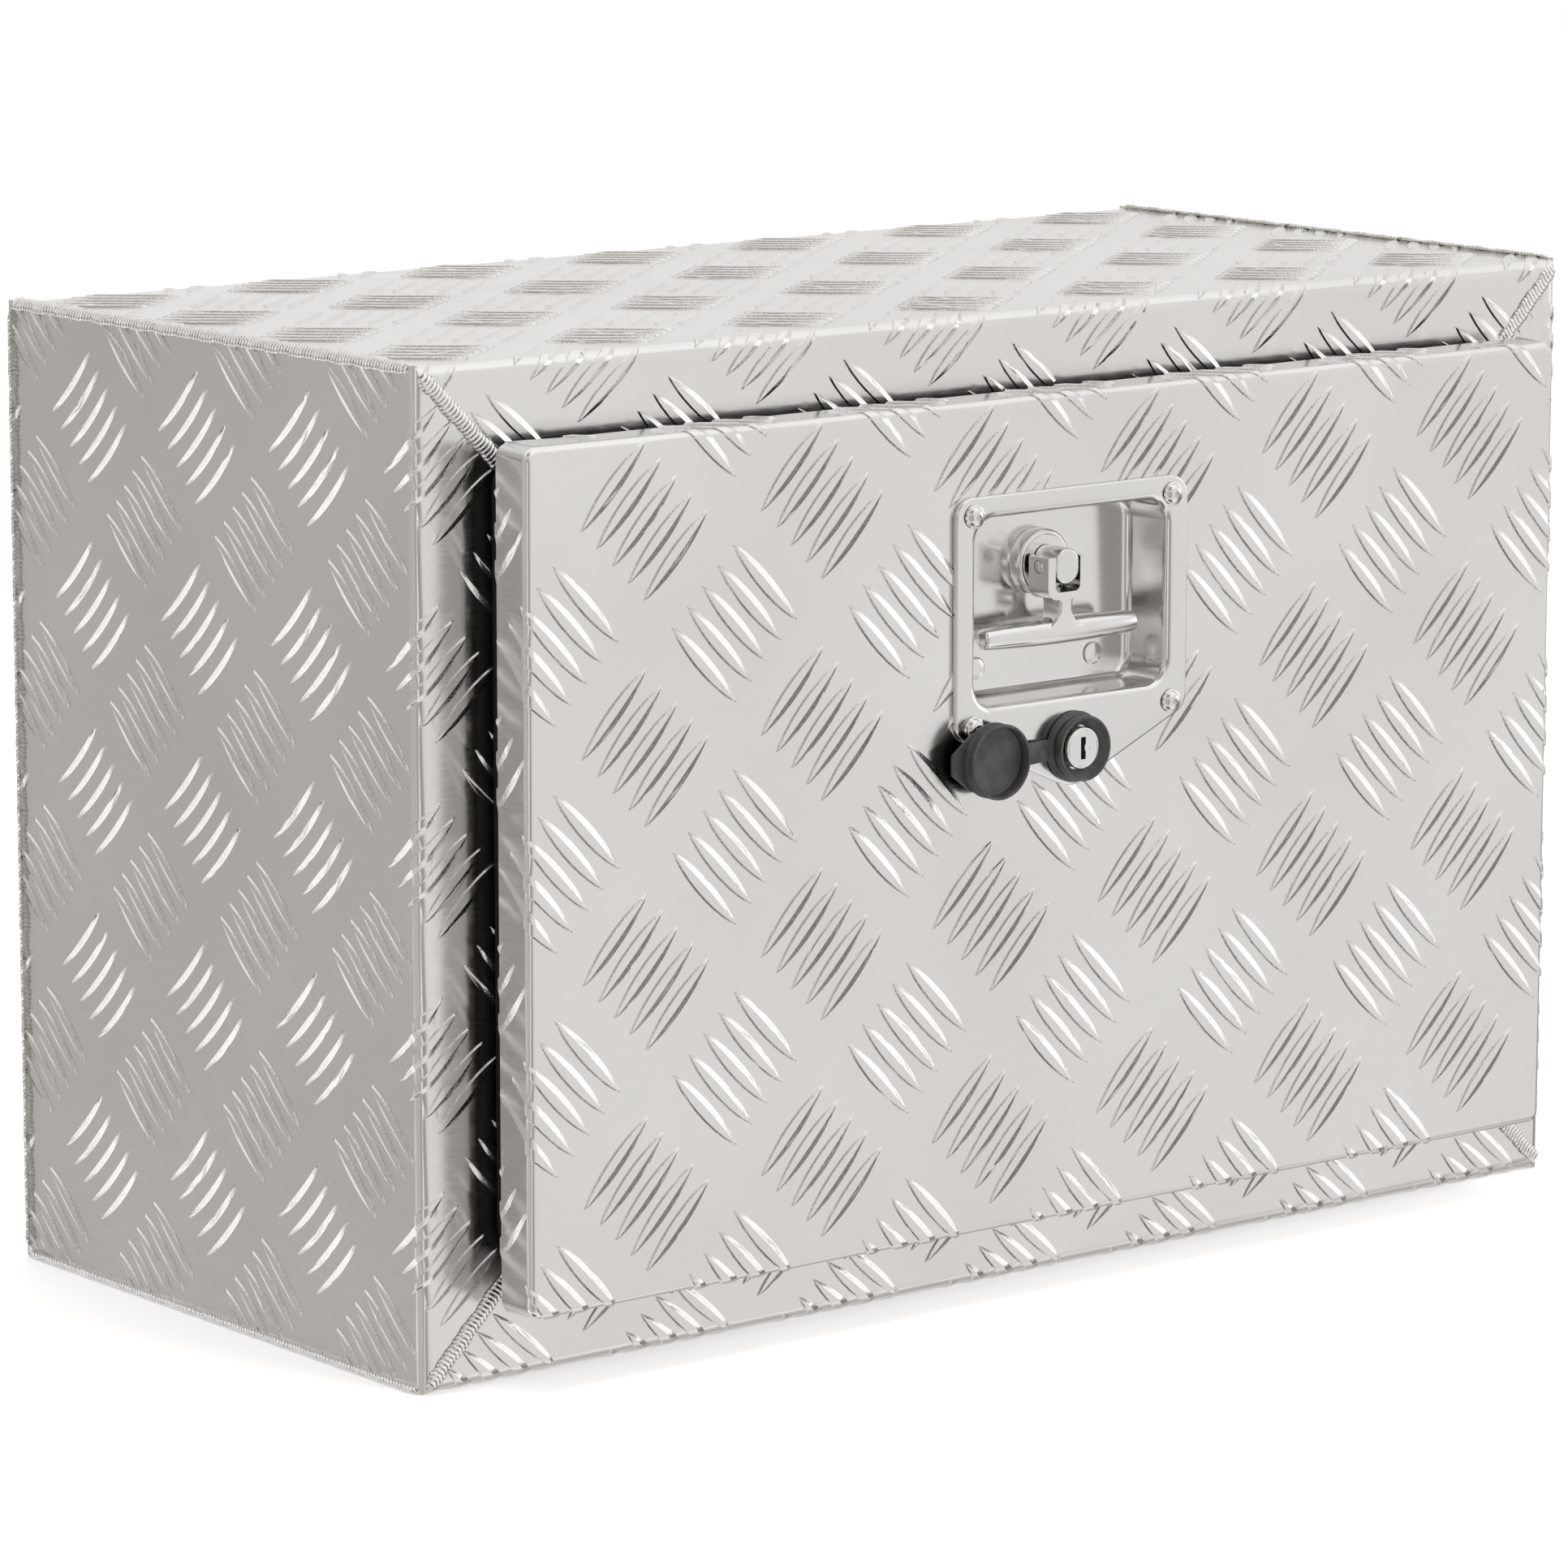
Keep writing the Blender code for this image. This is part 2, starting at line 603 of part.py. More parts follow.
def latch_bar(turning):
    """The bar that comes up behind the top flange, with the tail that the lock's tongue blocks."""
    corners = [(0.068, -0.009), (0.068, 0.009), (0.014, 0.012), (-0.014, 0.012), (-0.020, 0.007),
               (-0.036, 0.007), (-0.036, -0.007), (-0.020, -0.007), (-0.014, -0.012), (0.014, -0.012)]
    radii = [0.005, 0.005, 0.004, 0.004, 0.002, 0.003, 0.003, 0.002, 0.004, 0.004]
    along = Vector((-math.sin(LATCH_TRAVEL), math.cos(LATCH_TRAVEL)))
    across = Vector((along.y, -along.x))
    centre = Vector((SPINDLE_AXIS.x, SPINDLE_AXIS.z))
    outline = [centre + along * u + across * v for u, v in rounded(corners, radii, 3)]
    bar = prism("latch_bar", outline, BAR_FRONT, BAR_BACK)
    side = 0.004 + GAP
    hole = [centre + Vector((sx * side, sz * side)) for sx, sz in ((-1, -1), (1, -1), (1, 1), (-1, 1))]
    cut(bar, prism("hole", hole, BAR_FRONT - 0.001, BAR_BACK + 0.001))
    complete(bar, "zinc", turning)
    low = BAR_BACK + GAP
    washer = [(0.0042, low), (0.009, low), (0.009, low + 0.0012), (0.0042, low + 0.0012)]
    complete(turned("latch_bar_washer", washer, (centre.x, 0, centre.y), closed=True, sides=24),
             "zinc", turning)
    low += 0.0012 + GAP
    nut = prism("latch_bar_nut", hexagon(centre, 0.013), low, low + 0.005)
    cut(nut, rod("bore", 0.0042, -0.02, 0.02, (centre.x, low, centre.y), sides=20))
    complete(nut, "zinc", turning)


def t_handle(folding):
    """The handle: a yoke on the cross pin, a short stem, and a barrel-shaped hand bar."""
    x, y, z = FOLD_AXIS
    corners = [(x - 0.0105, z + 0.0041), (x - 0.0105, z - 0.0134), (x + 0.0105, z - 0.0134),
               (x + 0.0105, z + 0.0041)]
    handle = prism("t_handle", rounded(corners, [0.001, 0.005, 0.005, 0.001]), y - 0.0062, y + 0.0060)
    corners = [(x - 0.0065, z + 0.010), (x - 0.0065, z - 0.0104), (x + 0.0065, z - 0.0104),
               (x + 0.0065, z + 0.010)]
    stem = rounded_box_outline((y - 0.0045, z - BAR_DROP), (y + 0.0045, z - 0.0120), 0.001, 2)
    add(handle, prism("stem", stem, x - 0.0042, x + 0.0042, "yz"))
    half, middle, end = 0.0395, 0.0053, 0.0043
    profile = [(0, -half), (end * 0.6, -half), (end * 0.92, -half + 0.0008), (end, -half + 0.0025)]
    profile += [(middle - (middle - end) * (u / half) ** 2, u)
                for u in (-0.028, -0.014, 0.0, 0.014, 0.028)]
    profile += [(radius, -along) for radius, along in reversed(profile[:4])]
    add(handle, turned("hand_bar", profile, (x, y, z - BAR_DROP), axis="x", sides=24))
    cut(handle, prism("slot", rounded(corners, [0.0005, 0.002, 0.002, 0.0005]), y - 0.02, y + 0.02))
    cut(handle, rod("bore", 0.0028, -0.02, 0.02, FOLD_AXIS, axis="x", sides=20))
    complete(handle, "stainless", folding)


# ---------------------------------------------------------------- key lock

def lock_body(door):
    """The lock's barrel with its collar on the latch plate, and the ring nut behind the door."""
    collar = PLATE_FACE - GAP
    bore = PLUG_RADIUS + GAP
    profile = [(bore, collar - 0.0024), (0.0110, collar - 0.0024), (0.0115, collar - 0.0018),
               (0.0115, collar), (LOCK_RADIUS, collar), (LOCK_RADIUS, FRONT + 0.0035),
               (bore, FRONT + 0.0035)]
    centre = (KEY_AXIS.x, 0, KEY_AXIS.z)
    complete(turned("lock_housing", profile, centre, closed=True), "stainless", door)
    low = DOOR_FRONT + SHEET + GAP
    nut = prism("lock_ring_nut", hexagon((KEY_AXIS.x, KEY_AXIS.z), 0.024), low, low + 0.005)
    cut(nut, rod("bore", LOCK_RADIUS + GAP, -0.01, 0.01, (KEY_AXIS.x, low, KEY_AXIS.z)))
    complete(nut, "zinc", door)


def lock_boot(door):
    """The rubber ring round the lock, with the fixed half of the cap's strap."""
    base = PLATE_FACE - GAP
    profile = [(0.0118, base), (0.0146, base), (0.0146, base - 0.0023), (0.0132, base - 0.0029),
               (0.0132, base - 0.0082), (0.0121, base - 0.0082), (0.0099, base - 0.0045),
               (0.0099, base - 0.0028), (0.0118, base - 0.0028)]
    boot = turned("lock_boot", profile, (KEY_AXIS.x, 0, KEY_AXIS.z), closed=True)
    add(boot, box("strap", (CAP_AXIS.x + GAP / 2, base - 0.0019, KEY_AXIS.z - STRAP_HALF),
                  (KEY_AXIS.x - 0.0128, base - 0.0007, KEY_AXIS.z + STRAP_HALF)))
    complete(boot, "rubber", door)


def lock_plug(key):
    """The turning plug with its key slot, and the hooked tongue and nut on its tail."""
    x, z = KEY_AXIS.x, KEY_AXIS.z
    face = PLATE_FACE - 0.0067
    profile = [(0, face), (0.0073, face), (PLUG_RADIUS, face + 0.0007), (PLUG_RADIUS, FRONT + 0.0038),
               (0.0038, FRONT + 0.0038), (0.0038, FRONT + 0.0122), (0, FRONT + 0.0122)]
    plug = turned("lock_plug", profile, (x, 0, z))
    cut(plug, box("slot", (x - 0.0011, face - 0.001, z - 0.0045), (x + 0.0011, face + 0.010, z + 0.0045)))
    complete(plug, "stainless", key)
    corners = [(-0.007, -0.008), (0.007, -0.008), (0.007, 0.022), (0.017, 0.032), (0.017, 0.048),
               (0.0102, 0.048), (0.0102, 0.036), (-0.007, 0.036)]
    outline = rounded(corners, [0.005, 0.005, 0.002, 0.002, 0.002, 0.002, 0.001, 0.004], 3)
    outline = [(x + along, z - across) for across, along in outline]
    tongue = prism("lock_tongue", outline, BAR_FRONT, BAR_FRONT + 0.0025)
    cut(tongue, rod("hole", 0.0041, -0.001, 0.004, (x, BAR_FRONT, z), sides=24))
    complete(tongue, "zinc", key)
    low = BAR_FRONT + 0.0025 + GAP
    nut = prism("lock_tongue_nut", hexagon((x, z), 0.012), low, low + 0.0035)
    cut(nut, rod("bore", 0.0041, -0.01, 0.01, (x, low, z), sides=20))
    complete(nut, "zinc", key)


def dust_cap(flipping):
    """The rubber cap as it hangs open: a cup, a pull tab and its half of the strap."""
    centre = (CAP_X, CAP_AXIS.y, CAP_AXIS.z)
    inner = CAP_RADIUS - 0.0012
    profile = [(0, 0.00335), (CAP_RADIUS - 0.0006, 0.00335), (CAP_RADIUS, 0.0027),
               (CAP_RADIUS, -0.0034), (CAP_RADIUS - 0.0004, -0.00395), (inner, -0.00395),
               (inner, 0.00185), (0, 0.00185)]
    cap = turned("dust_cap", profile, centre)
    tab = [(-0.068, -0.004), (-0.068, 0.004), (-0.058, 0.0115), (-0.047, 0.0130), (-0.047, -0.0130),
           (-0.058, -0.0115)]
    tab = [(px, CAP_AXIS.z + pz) for px, pz in tab]
    add(cap, prism("tab", tab, CAP_AXIS.y + 0.0019, CAP_AXIS.y + 0.0033))
    add(cap, box("strap", (CAP_X + 0.012, CAP_AXIS.y + 0.0020, CAP_AXIS.z - STRAP_HALF),
                 (CAP_AXIS.x - GAP / 2, CAP_AXIS.y + 0.0032, CAP_AXIS.z + STRAP_HALF)))
    complete(cap, "rubber", flipping)


# ---------------------------------------------------------------- assembly

def build():
    for obj in list(bpy.data.objects):
        bpy.data.objects.remove(obj)
    door = pivot("door_pivot", HINGE_AXIS)
    turning = pivot("spindle_pivot", SPINDLE_AXIS, door)
    folding = pivot("fold_pivot", FOLD_AXIS, turning)
    key = pivot("key_pivot", KEY_AXIS, door)
    flipping = pivot("cap_pivot", CAP_AXIS, door)

    case_top_back()
    case_bottom()
    case_side("case_side_left", 1)
    case_side("case_side_right", -1)
    strike_plate()
    stay_lugs(door)
    door_panel(door)
    door_seal(door)
    hinge(door)
    latch_dish(door)
    latch_screws(door)
    spindle_bearing(door)
    spindle(turning)
    latch_bar(turning)
    t_handle(folding)
    lock_body(door)
    lock_boot(door)
    lock_plug(key)
    dust_cap(flipping)


build()
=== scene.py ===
"""The looks of a truck tool box of bright tread plate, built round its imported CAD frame."""

import json
import math
from itertools import product

import bmesh
import bpy
import numpy as np
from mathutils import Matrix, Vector
from mathutils.geometry import delaunay_2d_cdt


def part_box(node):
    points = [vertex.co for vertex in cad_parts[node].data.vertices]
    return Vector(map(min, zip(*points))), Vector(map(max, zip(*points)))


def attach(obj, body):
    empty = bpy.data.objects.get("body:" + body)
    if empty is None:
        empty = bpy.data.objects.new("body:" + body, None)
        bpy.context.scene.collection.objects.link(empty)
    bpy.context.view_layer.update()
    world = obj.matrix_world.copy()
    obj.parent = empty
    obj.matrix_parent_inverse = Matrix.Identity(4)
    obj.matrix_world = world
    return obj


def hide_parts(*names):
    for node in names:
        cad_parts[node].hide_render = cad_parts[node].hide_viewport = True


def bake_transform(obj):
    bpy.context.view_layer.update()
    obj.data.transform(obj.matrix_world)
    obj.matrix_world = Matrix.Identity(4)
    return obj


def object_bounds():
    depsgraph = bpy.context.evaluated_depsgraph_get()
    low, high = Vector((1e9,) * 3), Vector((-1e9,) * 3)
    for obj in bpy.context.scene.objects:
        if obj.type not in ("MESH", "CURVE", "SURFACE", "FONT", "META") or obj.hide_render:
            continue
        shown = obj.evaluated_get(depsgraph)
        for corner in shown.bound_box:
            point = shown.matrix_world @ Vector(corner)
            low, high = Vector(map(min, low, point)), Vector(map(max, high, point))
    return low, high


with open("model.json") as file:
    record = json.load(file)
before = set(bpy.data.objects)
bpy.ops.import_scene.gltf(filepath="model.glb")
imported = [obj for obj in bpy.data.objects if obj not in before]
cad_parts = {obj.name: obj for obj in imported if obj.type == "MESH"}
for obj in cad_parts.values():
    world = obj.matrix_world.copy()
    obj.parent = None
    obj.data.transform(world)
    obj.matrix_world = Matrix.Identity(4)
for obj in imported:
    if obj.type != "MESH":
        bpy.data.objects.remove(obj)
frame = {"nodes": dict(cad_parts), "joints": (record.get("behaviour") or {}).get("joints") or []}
cad_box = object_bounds()

# Places that the frame gives
JOINTS = {joint["name"]: joint for joint in frame["joints"]}
CASE_LOW, CASE_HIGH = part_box("case_side_left")[0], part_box("case_side_right")[1]
LEFT, FRONT, BOTTOM = CASE_LOW
RIGHT, BACK, TOP = CASE_HIGH
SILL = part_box("case_bottom")[1].z
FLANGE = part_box("case_side_left")[1].x - LEFT
DOOR_LOW, DOOR_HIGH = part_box("door_panel")
DISH_LOW, DISH_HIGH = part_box("latch_dish")
SCREWS = [sum(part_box(f"latch_screw_{i}"), Vector()) / 2 for i in range(1, 5)]
LATCH_Z = sum(point.z for point in SCREWS) / 4
SPINDLE = Vector(JOINTS["handle_turn"]["pos_m"])
PIN = Vector(JOINTS["handle_fold"]["pos_m"])
KEY = Vector(JOINTS["key_turn"]["pos_m"])
CAP = Vector(JOINTS["cap_flip"]["pos_m"])

# Tread plate
RISE = 0.0008           # a bar above the plate
PLATE = 0.0017          # the plate without its bars
BEND = 0.005            # outer radius of the case's bends, under the bars
DOOR_BEND = 0.003
DOOR_CORNER = 0.005
MITRE_GAP = 0.00025
ARC_STEPS = 6
STEP = 0.0001           # a blank's outline changes its width within this
FIRST_GROUP = -0.226    # where the case's top and bottom have a group of bars
NUDGE = 0.0001          # the step that tells which way a bent plate faces
THINNEST = 1.5e-7       # triangles lower than this are border lines, and left out
BORDER = 1e-6           # how far inside a sheet's border its triangles' middles lie
BAR_LENGTH = 0.046
BAR_WIDTH = 0.0070
BAR_PITCH = 0.01055
BAR_ANGLE = math.radians(46)
BAR_POINTS = 22
GROUP = (-2, -1, 0, 1, 2)
# The distances between groups, and how far a sheet's roll stretched its bars
CASE_PERIOD, CASE_STRETCH = (0.0882, 0.0736), (1.0, 0.83)
SIDE_PERIOD, SIDE_STRETCH = (0.0770, 0.0778), (0.87, 0.88)
DOOR_PERIOD, DOOR_STRETCH = (0.0882, 0.0890), (1.0, 1.01)
# How far each ring of a bar lies inside the bar's foot, its share of the bar's height, and how far
# it leans back from the bar's gentle flank
BAR_RINGS = ((0.0, 0.0, 0.0), (0.0003, 0.16, 0.0002), (0.0014, 0.86, 0.0009), (0.0017, 1.0, 0.0011))

# Latch and lock
DISH_FACE = DISH_LOW.y
DISH_FLOOR = DISH_FACE + 0.0245
DISH_HALF = 0.051
DISH_FLOOR_Z = (LATCH_Z - 0.0353, LATCH_Z + 0.0413)
DISH_CORNER = 0.010
HOLE_GAP = 0.002        # the door's hole is wider than the dish by this all round
LOCK_SEAT = DISH_FACE - 0.0003
SHANK = 0.0105          # the latch screws' length under their heads
CAP_X = CAP.x * 2       # the open cap's middle


# ---------------------------------------------------------------- materials

class Graph:
    """A short way to write shader nodes."""

    def __init__(self, tree):
        self.tree = tree

    def node(self, kind, **settings):
        """A new node. A setting is a socket's value or one of the node's own."""
        made = self.tree.nodes.new(kind)
        for name, value in settings.items():
            if name in made.inputs:
                made.inputs[name].default_value = value
            else:
                setattr(made, name, value)
        return made

    def link(self, start, end):
        self.tree.links.new(start, end)

    def ramp(self, value, low, high, out_low=0, out_high=1, kind="LINEAR"):
        made = self.node("ShaderNodeMapRange", interpolation_type=kind,
                         **{"From Min": low, "From Max": high, "To Min": out_low, "To Max": out_high})
        self.link(value, made.inputs["Value"])
        return made.outputs["Result"]

    def maths(self, operation, a, b):
        """Two numbers or sockets, put together."""
        made = self.node("ShaderNodeMath", operation=operation)
        for value, socket in zip((a, b), made.inputs):
            if isinstance(value, (int, float)):
                socket.default_value = value
            else:
                self.link(value, socket)
        return made.outputs["Value"]

    def mix(self, value, first, second):
        """A colour between two."""
        made = self.node("ShaderNodeMix", data_type="RGBA")
        made.inputs["A"].default_value = (*first, 1)
        made.inputs["B"].default_value = (*second, 1)
        self.link(value, made.inputs["Factor"])
        return made.outputs["Result"]


class Finish(Graph):
    """A material in the making."""

    def __init__(self, name, colour, metallic, roughness, **sockets):
        self.material = bpy.data.materials.new(name)
        self.material.use_nodes = True
        self.material.diffuse_color = (*colour, 1)
        super().__init__(self.material.node_tree)
        self.shader = self.tree.nodes["Principled BSDF"].inputs
        sockets.update({"Base Color": (*colour, 1), "Metallic": metallic, "Roughness": roughness})
        for socket, value in sockets.items():
            self.shader[socket].default_value = value
        self.place = self.node("ShaderNodeTexCoord").outputs["Object"]

    def noise(self, scale, detail=3.0, rough=0.5, stretch=None):
        """Cloudy noise over the object's own coordinates, which may be stretched."""
        place = self.place
        if stretch:
            mapping = self.node("ShaderNodeMapping", Scale=stretch)
            self.link(place, mapping.inputs["Vector"])
            place = mapping.outputs["Vector"]
        made = self.node("ShaderNodeTexNoise", Scale=scale, Detail=detail, Roughness=rough)
        self.link(place, made.inputs["Vector"])
        return made.outputs["Fac"]

    def attribute(self, name):
        return self.node("ShaderNodeAttribute", attribute_name=name).outputs["Fac"]

    def tint(self, value, dark, light):
        self.link(self.mix(value, dark, light), self.shader["Base Color"])

    def roughen(self, noise, low, high):
        self.link(self.ramp(noise, 0.3, 0.7, low, high), self.shader["Roughness"])

    def bump(self, value, strength, distance=0.0002):
        made = self.node("ShaderNodeBump", Strength=strength, Distance=distance)
        self.link(value, made.inputs["Height"])
        self.link(made.outputs["Normal"], self.shader["Normal"])


def tread_plate():
    """Mill-bright aluminium: clean flats, flanks with the roll's torn grain, a few dull patches."""
    m = Finish("tread_plate", (0.86, 0.85, 0.835), 1.0, 0.2)
    rise = m.attribute("rise")
    flank = m.maths("MULTIPLY", m.ramp(rise, 0.03, 0.25), m.ramp(rise, 0.80, 0.97, 1, 0))
    m.tint(m.ramp(m.noise(7, 4, 0.55), 0.3, 0.7), (0.77, 0.76, 0.745), (0.84, 0.835, 0.82))
    base = m.ramp(m.noise(90, 3, 0.6, (1, 1, 9)), 0.3, 0.7, 0.15, 0.23)
    torn = m.maths("MULTIPLY", flank, m.ramp(m.noise(1300, 2, 0.6), 0.35, 0.65, 0.0, 0.10))
    m.link(m.maths("ADD", base, torn), m.shader["Roughness"])
    speckle = m.maths("MULTIPLY", m.ramp(m.noise(850, 2, 0.6), 0.35, 0.65, 0, 0.22), flank)
    waves = m.maths("MULTIPLY", m.noise(14, 2, 0.5), 0.15)
    m.bump(m.maths("ADD", speckle, waves), 0.42, 0.0005)
    return m.material


def finish(name, colour, metallic, roughness, tint=None, rough=None, bump=None, **sockets):
    """A material whose colour, roughness and bumps follow noise. tint is (what it follows, dark, light),
    rough (noise, low, high) and bump (noise, strength), and a noise is noise()'s settings."""
    m = Finish(name, colour, metallic, roughness, **sockets)
    if tint:
        follow, dark, light = tint
        m.tint(follow(m) if callable(follow) else m.noise(*follow), dark, light)
    lines = m.noise(*rough[0])
    m.roughen(lines, *rough[1:])
    if bump:
        m.bump(m.noise(*bump[0]) if bump[0] else lines, bump[1])
    return m.material


def grooves(m):
    """Where a weld's painted shade goes: nothing on its passes, and full in the lines between them."""
    return m.ramp(m.attribute("groove"), 0.45, 0.95)


def spangle(m):
    """The faint crystals of zinc plate."""
    cells = m.node("ShaderNodeTexVoronoi", Scale=260.0)
    m.link(m.place, cells.inputs["Vector"])
    return m.ramp(cells.outputs["Distance"], 0.1, 0.8)


def dust(m):
    """Patches where rubber is dusty and paler."""
    return m.ramp(m.noise(130, 4, 0.6), 0.35, 0.75)


TREAD = tread_plate()
# Painted shade: the bead's colour runs from pale on its passes to near black in the lines between them, where
# shade falls
WELD = finish("weld_bead", (0.88, 0.875, 0.86), 1.0, 0.24,
              (grooves, (0.93, 0.925, 0.91), (0.07, 0.068, 0.066)),
              ((500, 3, 0.6), 0.16, 0.34), ((900, 2, 0.6), 0.25))
POLISHED = finish("polished_steel", (0.82, 0.815, 0.80), 1.0, 0.12,
                  ((24,), (0.76, 0.755, 0.74), (0.85, 0.845, 0.83)),
                  ((60, 4, 0.65, (2, 2, 26)), 0.11, 0.20), (None, 0.04))
PLAIN_STEEL = finish("hinge_steel", (0.62, 0.615, 0.60), 1.0, 0.3,
                     ((40, 4, 0.6), (0.52, 0.515, 0.50), (0.70, 0.695, 0.68)),
                     ((30, 4, 0.6, (1, 20, 20)), 0.24, 0.42), (None, 0.1))
ZINC = finish("zinc_plate", (0.60, 0.61, 0.62), 1.0, 0.36,
              (spangle, (0.50, 0.515, 0.53), (0.68, 0.685, 0.69)),
              ((120,), 0.28, 0.45), ((700, 2), 0.12))
RUBBER = finish("black_rubber", (0.028, 0.028, 0.029), 0.0, 0.5,
                (dust, (0.030, 0.029, 0.028), (0.060, 0.058, 0.056)),
                ((320, 3, 0.6), 0.32, 0.50), ((1500, 3, 0.6), 0.25), **{"Specular IOR Level": 0.5})
# Painted shade: a far darker copy of the rubber, so that the seal stands in for the deep shade in the gap
# between door and case
SHADED_SEAL = finish("seal_rubber_painted_shade", (0.008, 0.008, 0.008), 0.0, 0.7,
              ((200, 3, 0.6), (0.004, 0.004, 0.004), (0.012, 0.012, 0.012)),
              ((300, 3, 0.6), 0.6, 0.8), ((1500, 3, 0.6), 0.2), **{"Specular IOR Level": 0.15})
# Painted shade for the inside of the key slot
KEY_SLOT_SHADE = finish("key_slot_painted_shade", (0.01, 0.01, 0.011), 0.6, 0.5, rough=((400, 2), 0.4, 0.6))


# ---------------------------------------------------------------- shapes

def piece(name, mesh, material, body, replaces=(), sharp=35, bevel=0.0):
    """Make a mesh into a finished piece that rides on a body."""
    mesh.shade_smooth()
    mesh.set_sharp_from_angle(angle=math.radians(sharp))
    mesh.materials.clear()
    mesh.materials.append(material)
    obj = bpy.data.objects.new(name, mesh)
    bpy.context.scene.collection.objects.link(obj)
    if bevel:
        soften(obj, bevel)
    if body:
        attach(obj, body)
    if replaces:
        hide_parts(*replaces)
    return obj


def soften(obj, width, segments=3):
    """Round an object's edges."""
    modifier = obj.modifiers.new("edges", "BEVEL")
    modifier.width = width
    modifier.segments = segments
    modifier.limit_method = "ANGLE"
    modifier.angle_limit = math.radians(40)


def mesh_from(name, vertices, faces, merge=1e-7):
    """A mesh with its faces turned outwards. Points closer together than merge become one."""
    mesh = bpy.data.meshes.new(name)
    mesh.from_pydata([tuple(v) for v in vertices], [], [tuple(f) for f in faces])
    bm = bmesh.new()
    bm.from_mesh(mesh)
    if merge:
        bmesh.ops.remove_doubles(bm, verts=bm.verts, dist=merge)
    bmesh.ops.recalc_face_normals(bm, faces=bm.faces)
    bm.to_mesh(mesh)
    bm.free()
    return mesh


def turns(steps, whole=math.pi / 2):
    """Even angles from nothing to a quarter turn."""
    return [whole * k / steps for k in range(steps + 1)]


def pairs(items):
    """Each item with the next."""
    return list(zip(items, items[1:]))


def rolled(radius, start, steps=5):
    """A rounded edge's (inset, depth), from the face at the depth start to the side."""
    return [(radius * (1 - math.sin(a)), start + radius * (1 - math.cos(a))) for a in turns(steps)]


def arc(centre, radius, start, end, steps):
    angles = [start + (end - start) * i / steps for i in range(steps + 1)]
    return [(centre[0] + radius * math.cos(a), centre[1] + radius * math.sin(a)) for a in angles]


def circle(centre, radius, sides):
    return arc(centre, radius, 0, 2 * math.pi * (1 - 1 / sides), sides - 1)


def rounded(corners, radii, steps=6):
    """An outline with each corner rounded by its own radius."""
    outline = []
    for i, corner in enumerate(corners):
        here = Vector(corner)
        back = (Vector(corners[i - 1]) - here).normalized()
        ahead = (Vector(corners[(i + 1) % len(corners)]) - here).normalized()
        half = back.angle(ahead) / 2
        centre = here + (back + ahead).normalized() * radii[i] / math.sin(half)
        start = here + back * radii[i] / math.tan(half) - centre
        end = here + ahead * radii[i] / math.tan(half) - centre
        first = math.atan2(start.y, start.x)
        outline += arc(centre, radii[i], first, first - start.angle_signed(end), steps)
    return outline


def rounded_box(low, high, radius, steps=6):
    corners = [(low[0], low[1]), (high[0], low[1]), (high[0], high[1]), (low[0], high[1])]
    return rounded(corners, [radius] * 4, steps)


def at(outline, y):
    """An outline of (x, z) points, placed at a depth y."""
    return [(x, y, z) for x, z in outline]


def loft(loops, around=False, caps=True):
    """Vertices and faces through rings of as many points each. around joins the last to the first."""
    count = len(loops[0])
    vertices = [point for loop in loops for point in loop]
    faces = []
    rows = len(loops) if around else len(loops) - 1
    for r in range(rows):
        near, far = r * count, (r + 1) % len(loops) * count
        for i in range(count):
            j = (i + 1) % count
            faces.append((near + i, near + j, far + j, far + i))
    if caps and not around:
        faces.append(tuple(range(count)))
        faces.append(tuple(range(len(vertices) - count, len(vertices))))
    return vertices, faces


def lathe(profile, centre, axis="y", sides=64, closed=False):
    """A mesh of a profile of (radius, distance along the axis) spun round an axis."""
    loops = []
    for radius, along in profile:
        loop = []
        for c, s in circle((0, 0), max(radius, 1e-6), sides):
            offset = (c, along, s) if axis == "y" else (along, c, s)
            loop.append(Vector(centre) + Vector(offset))
        loops.append(loop)
    return mesh_from("lathe", *loft(loops, around=closed))


def spun(name, profile, centre, material, body, replaces=(), axis="y", sides=64, closed=False, sharp=35):
    """A finished piece made by lathe()."""
    return piece(name, lathe(profile, centre, axis, sides, closed), material, body, replaces, sharp)


def boolean(mesh, tool_mesh, operation="DIFFERENCE"):
    """One mesh cut by another or joined with it."""
    target = bpy.data.objects.new("boolean_target", mesh)
    tool = bpy.data.objects.new("boolean_tool", tool_mesh)
    for obj in (target, tool):
        bpy.context.scene.collection.objects.link(obj)
    modifier = target.modifiers.new("shape", "BOOLEAN")
    modifier.operation = operation
    modifier.object = tool
    modifier.solver = "EXACT"
    bpy.context.view_layer.update()
    graph = bpy.context.evaluated_depsgraph_get()
    result = bpy.data.meshes.new_from_object(target.evaluated_get(graph))
    for obj in (target, tool):
        bpy.data.objects.remove(obj)
    return result


def prism(outline, low, high):
    return mesh_from("prism", *loft([at(outline, low), at(outline, high)]))


def in_outline(points, outline):
    """Which points lie inside a closed outline."""
    result = np.zeros(len(points), bool)
    for (x1, z1), (x2, z2) in zip(outline, outline[1:] + outline[:1]):
        if z1 == z2:
            continue
        crosses = (z1 > points[:, 1]) != (z2 > points[:, 1])
        x = x1 + (points[:, 1] - z1) / (z2 - z1) * (x2 - x1)
        result ^= crosses & (points[:, 0] < x)
    return result


# ---------------------------------------------------------------- tread pattern

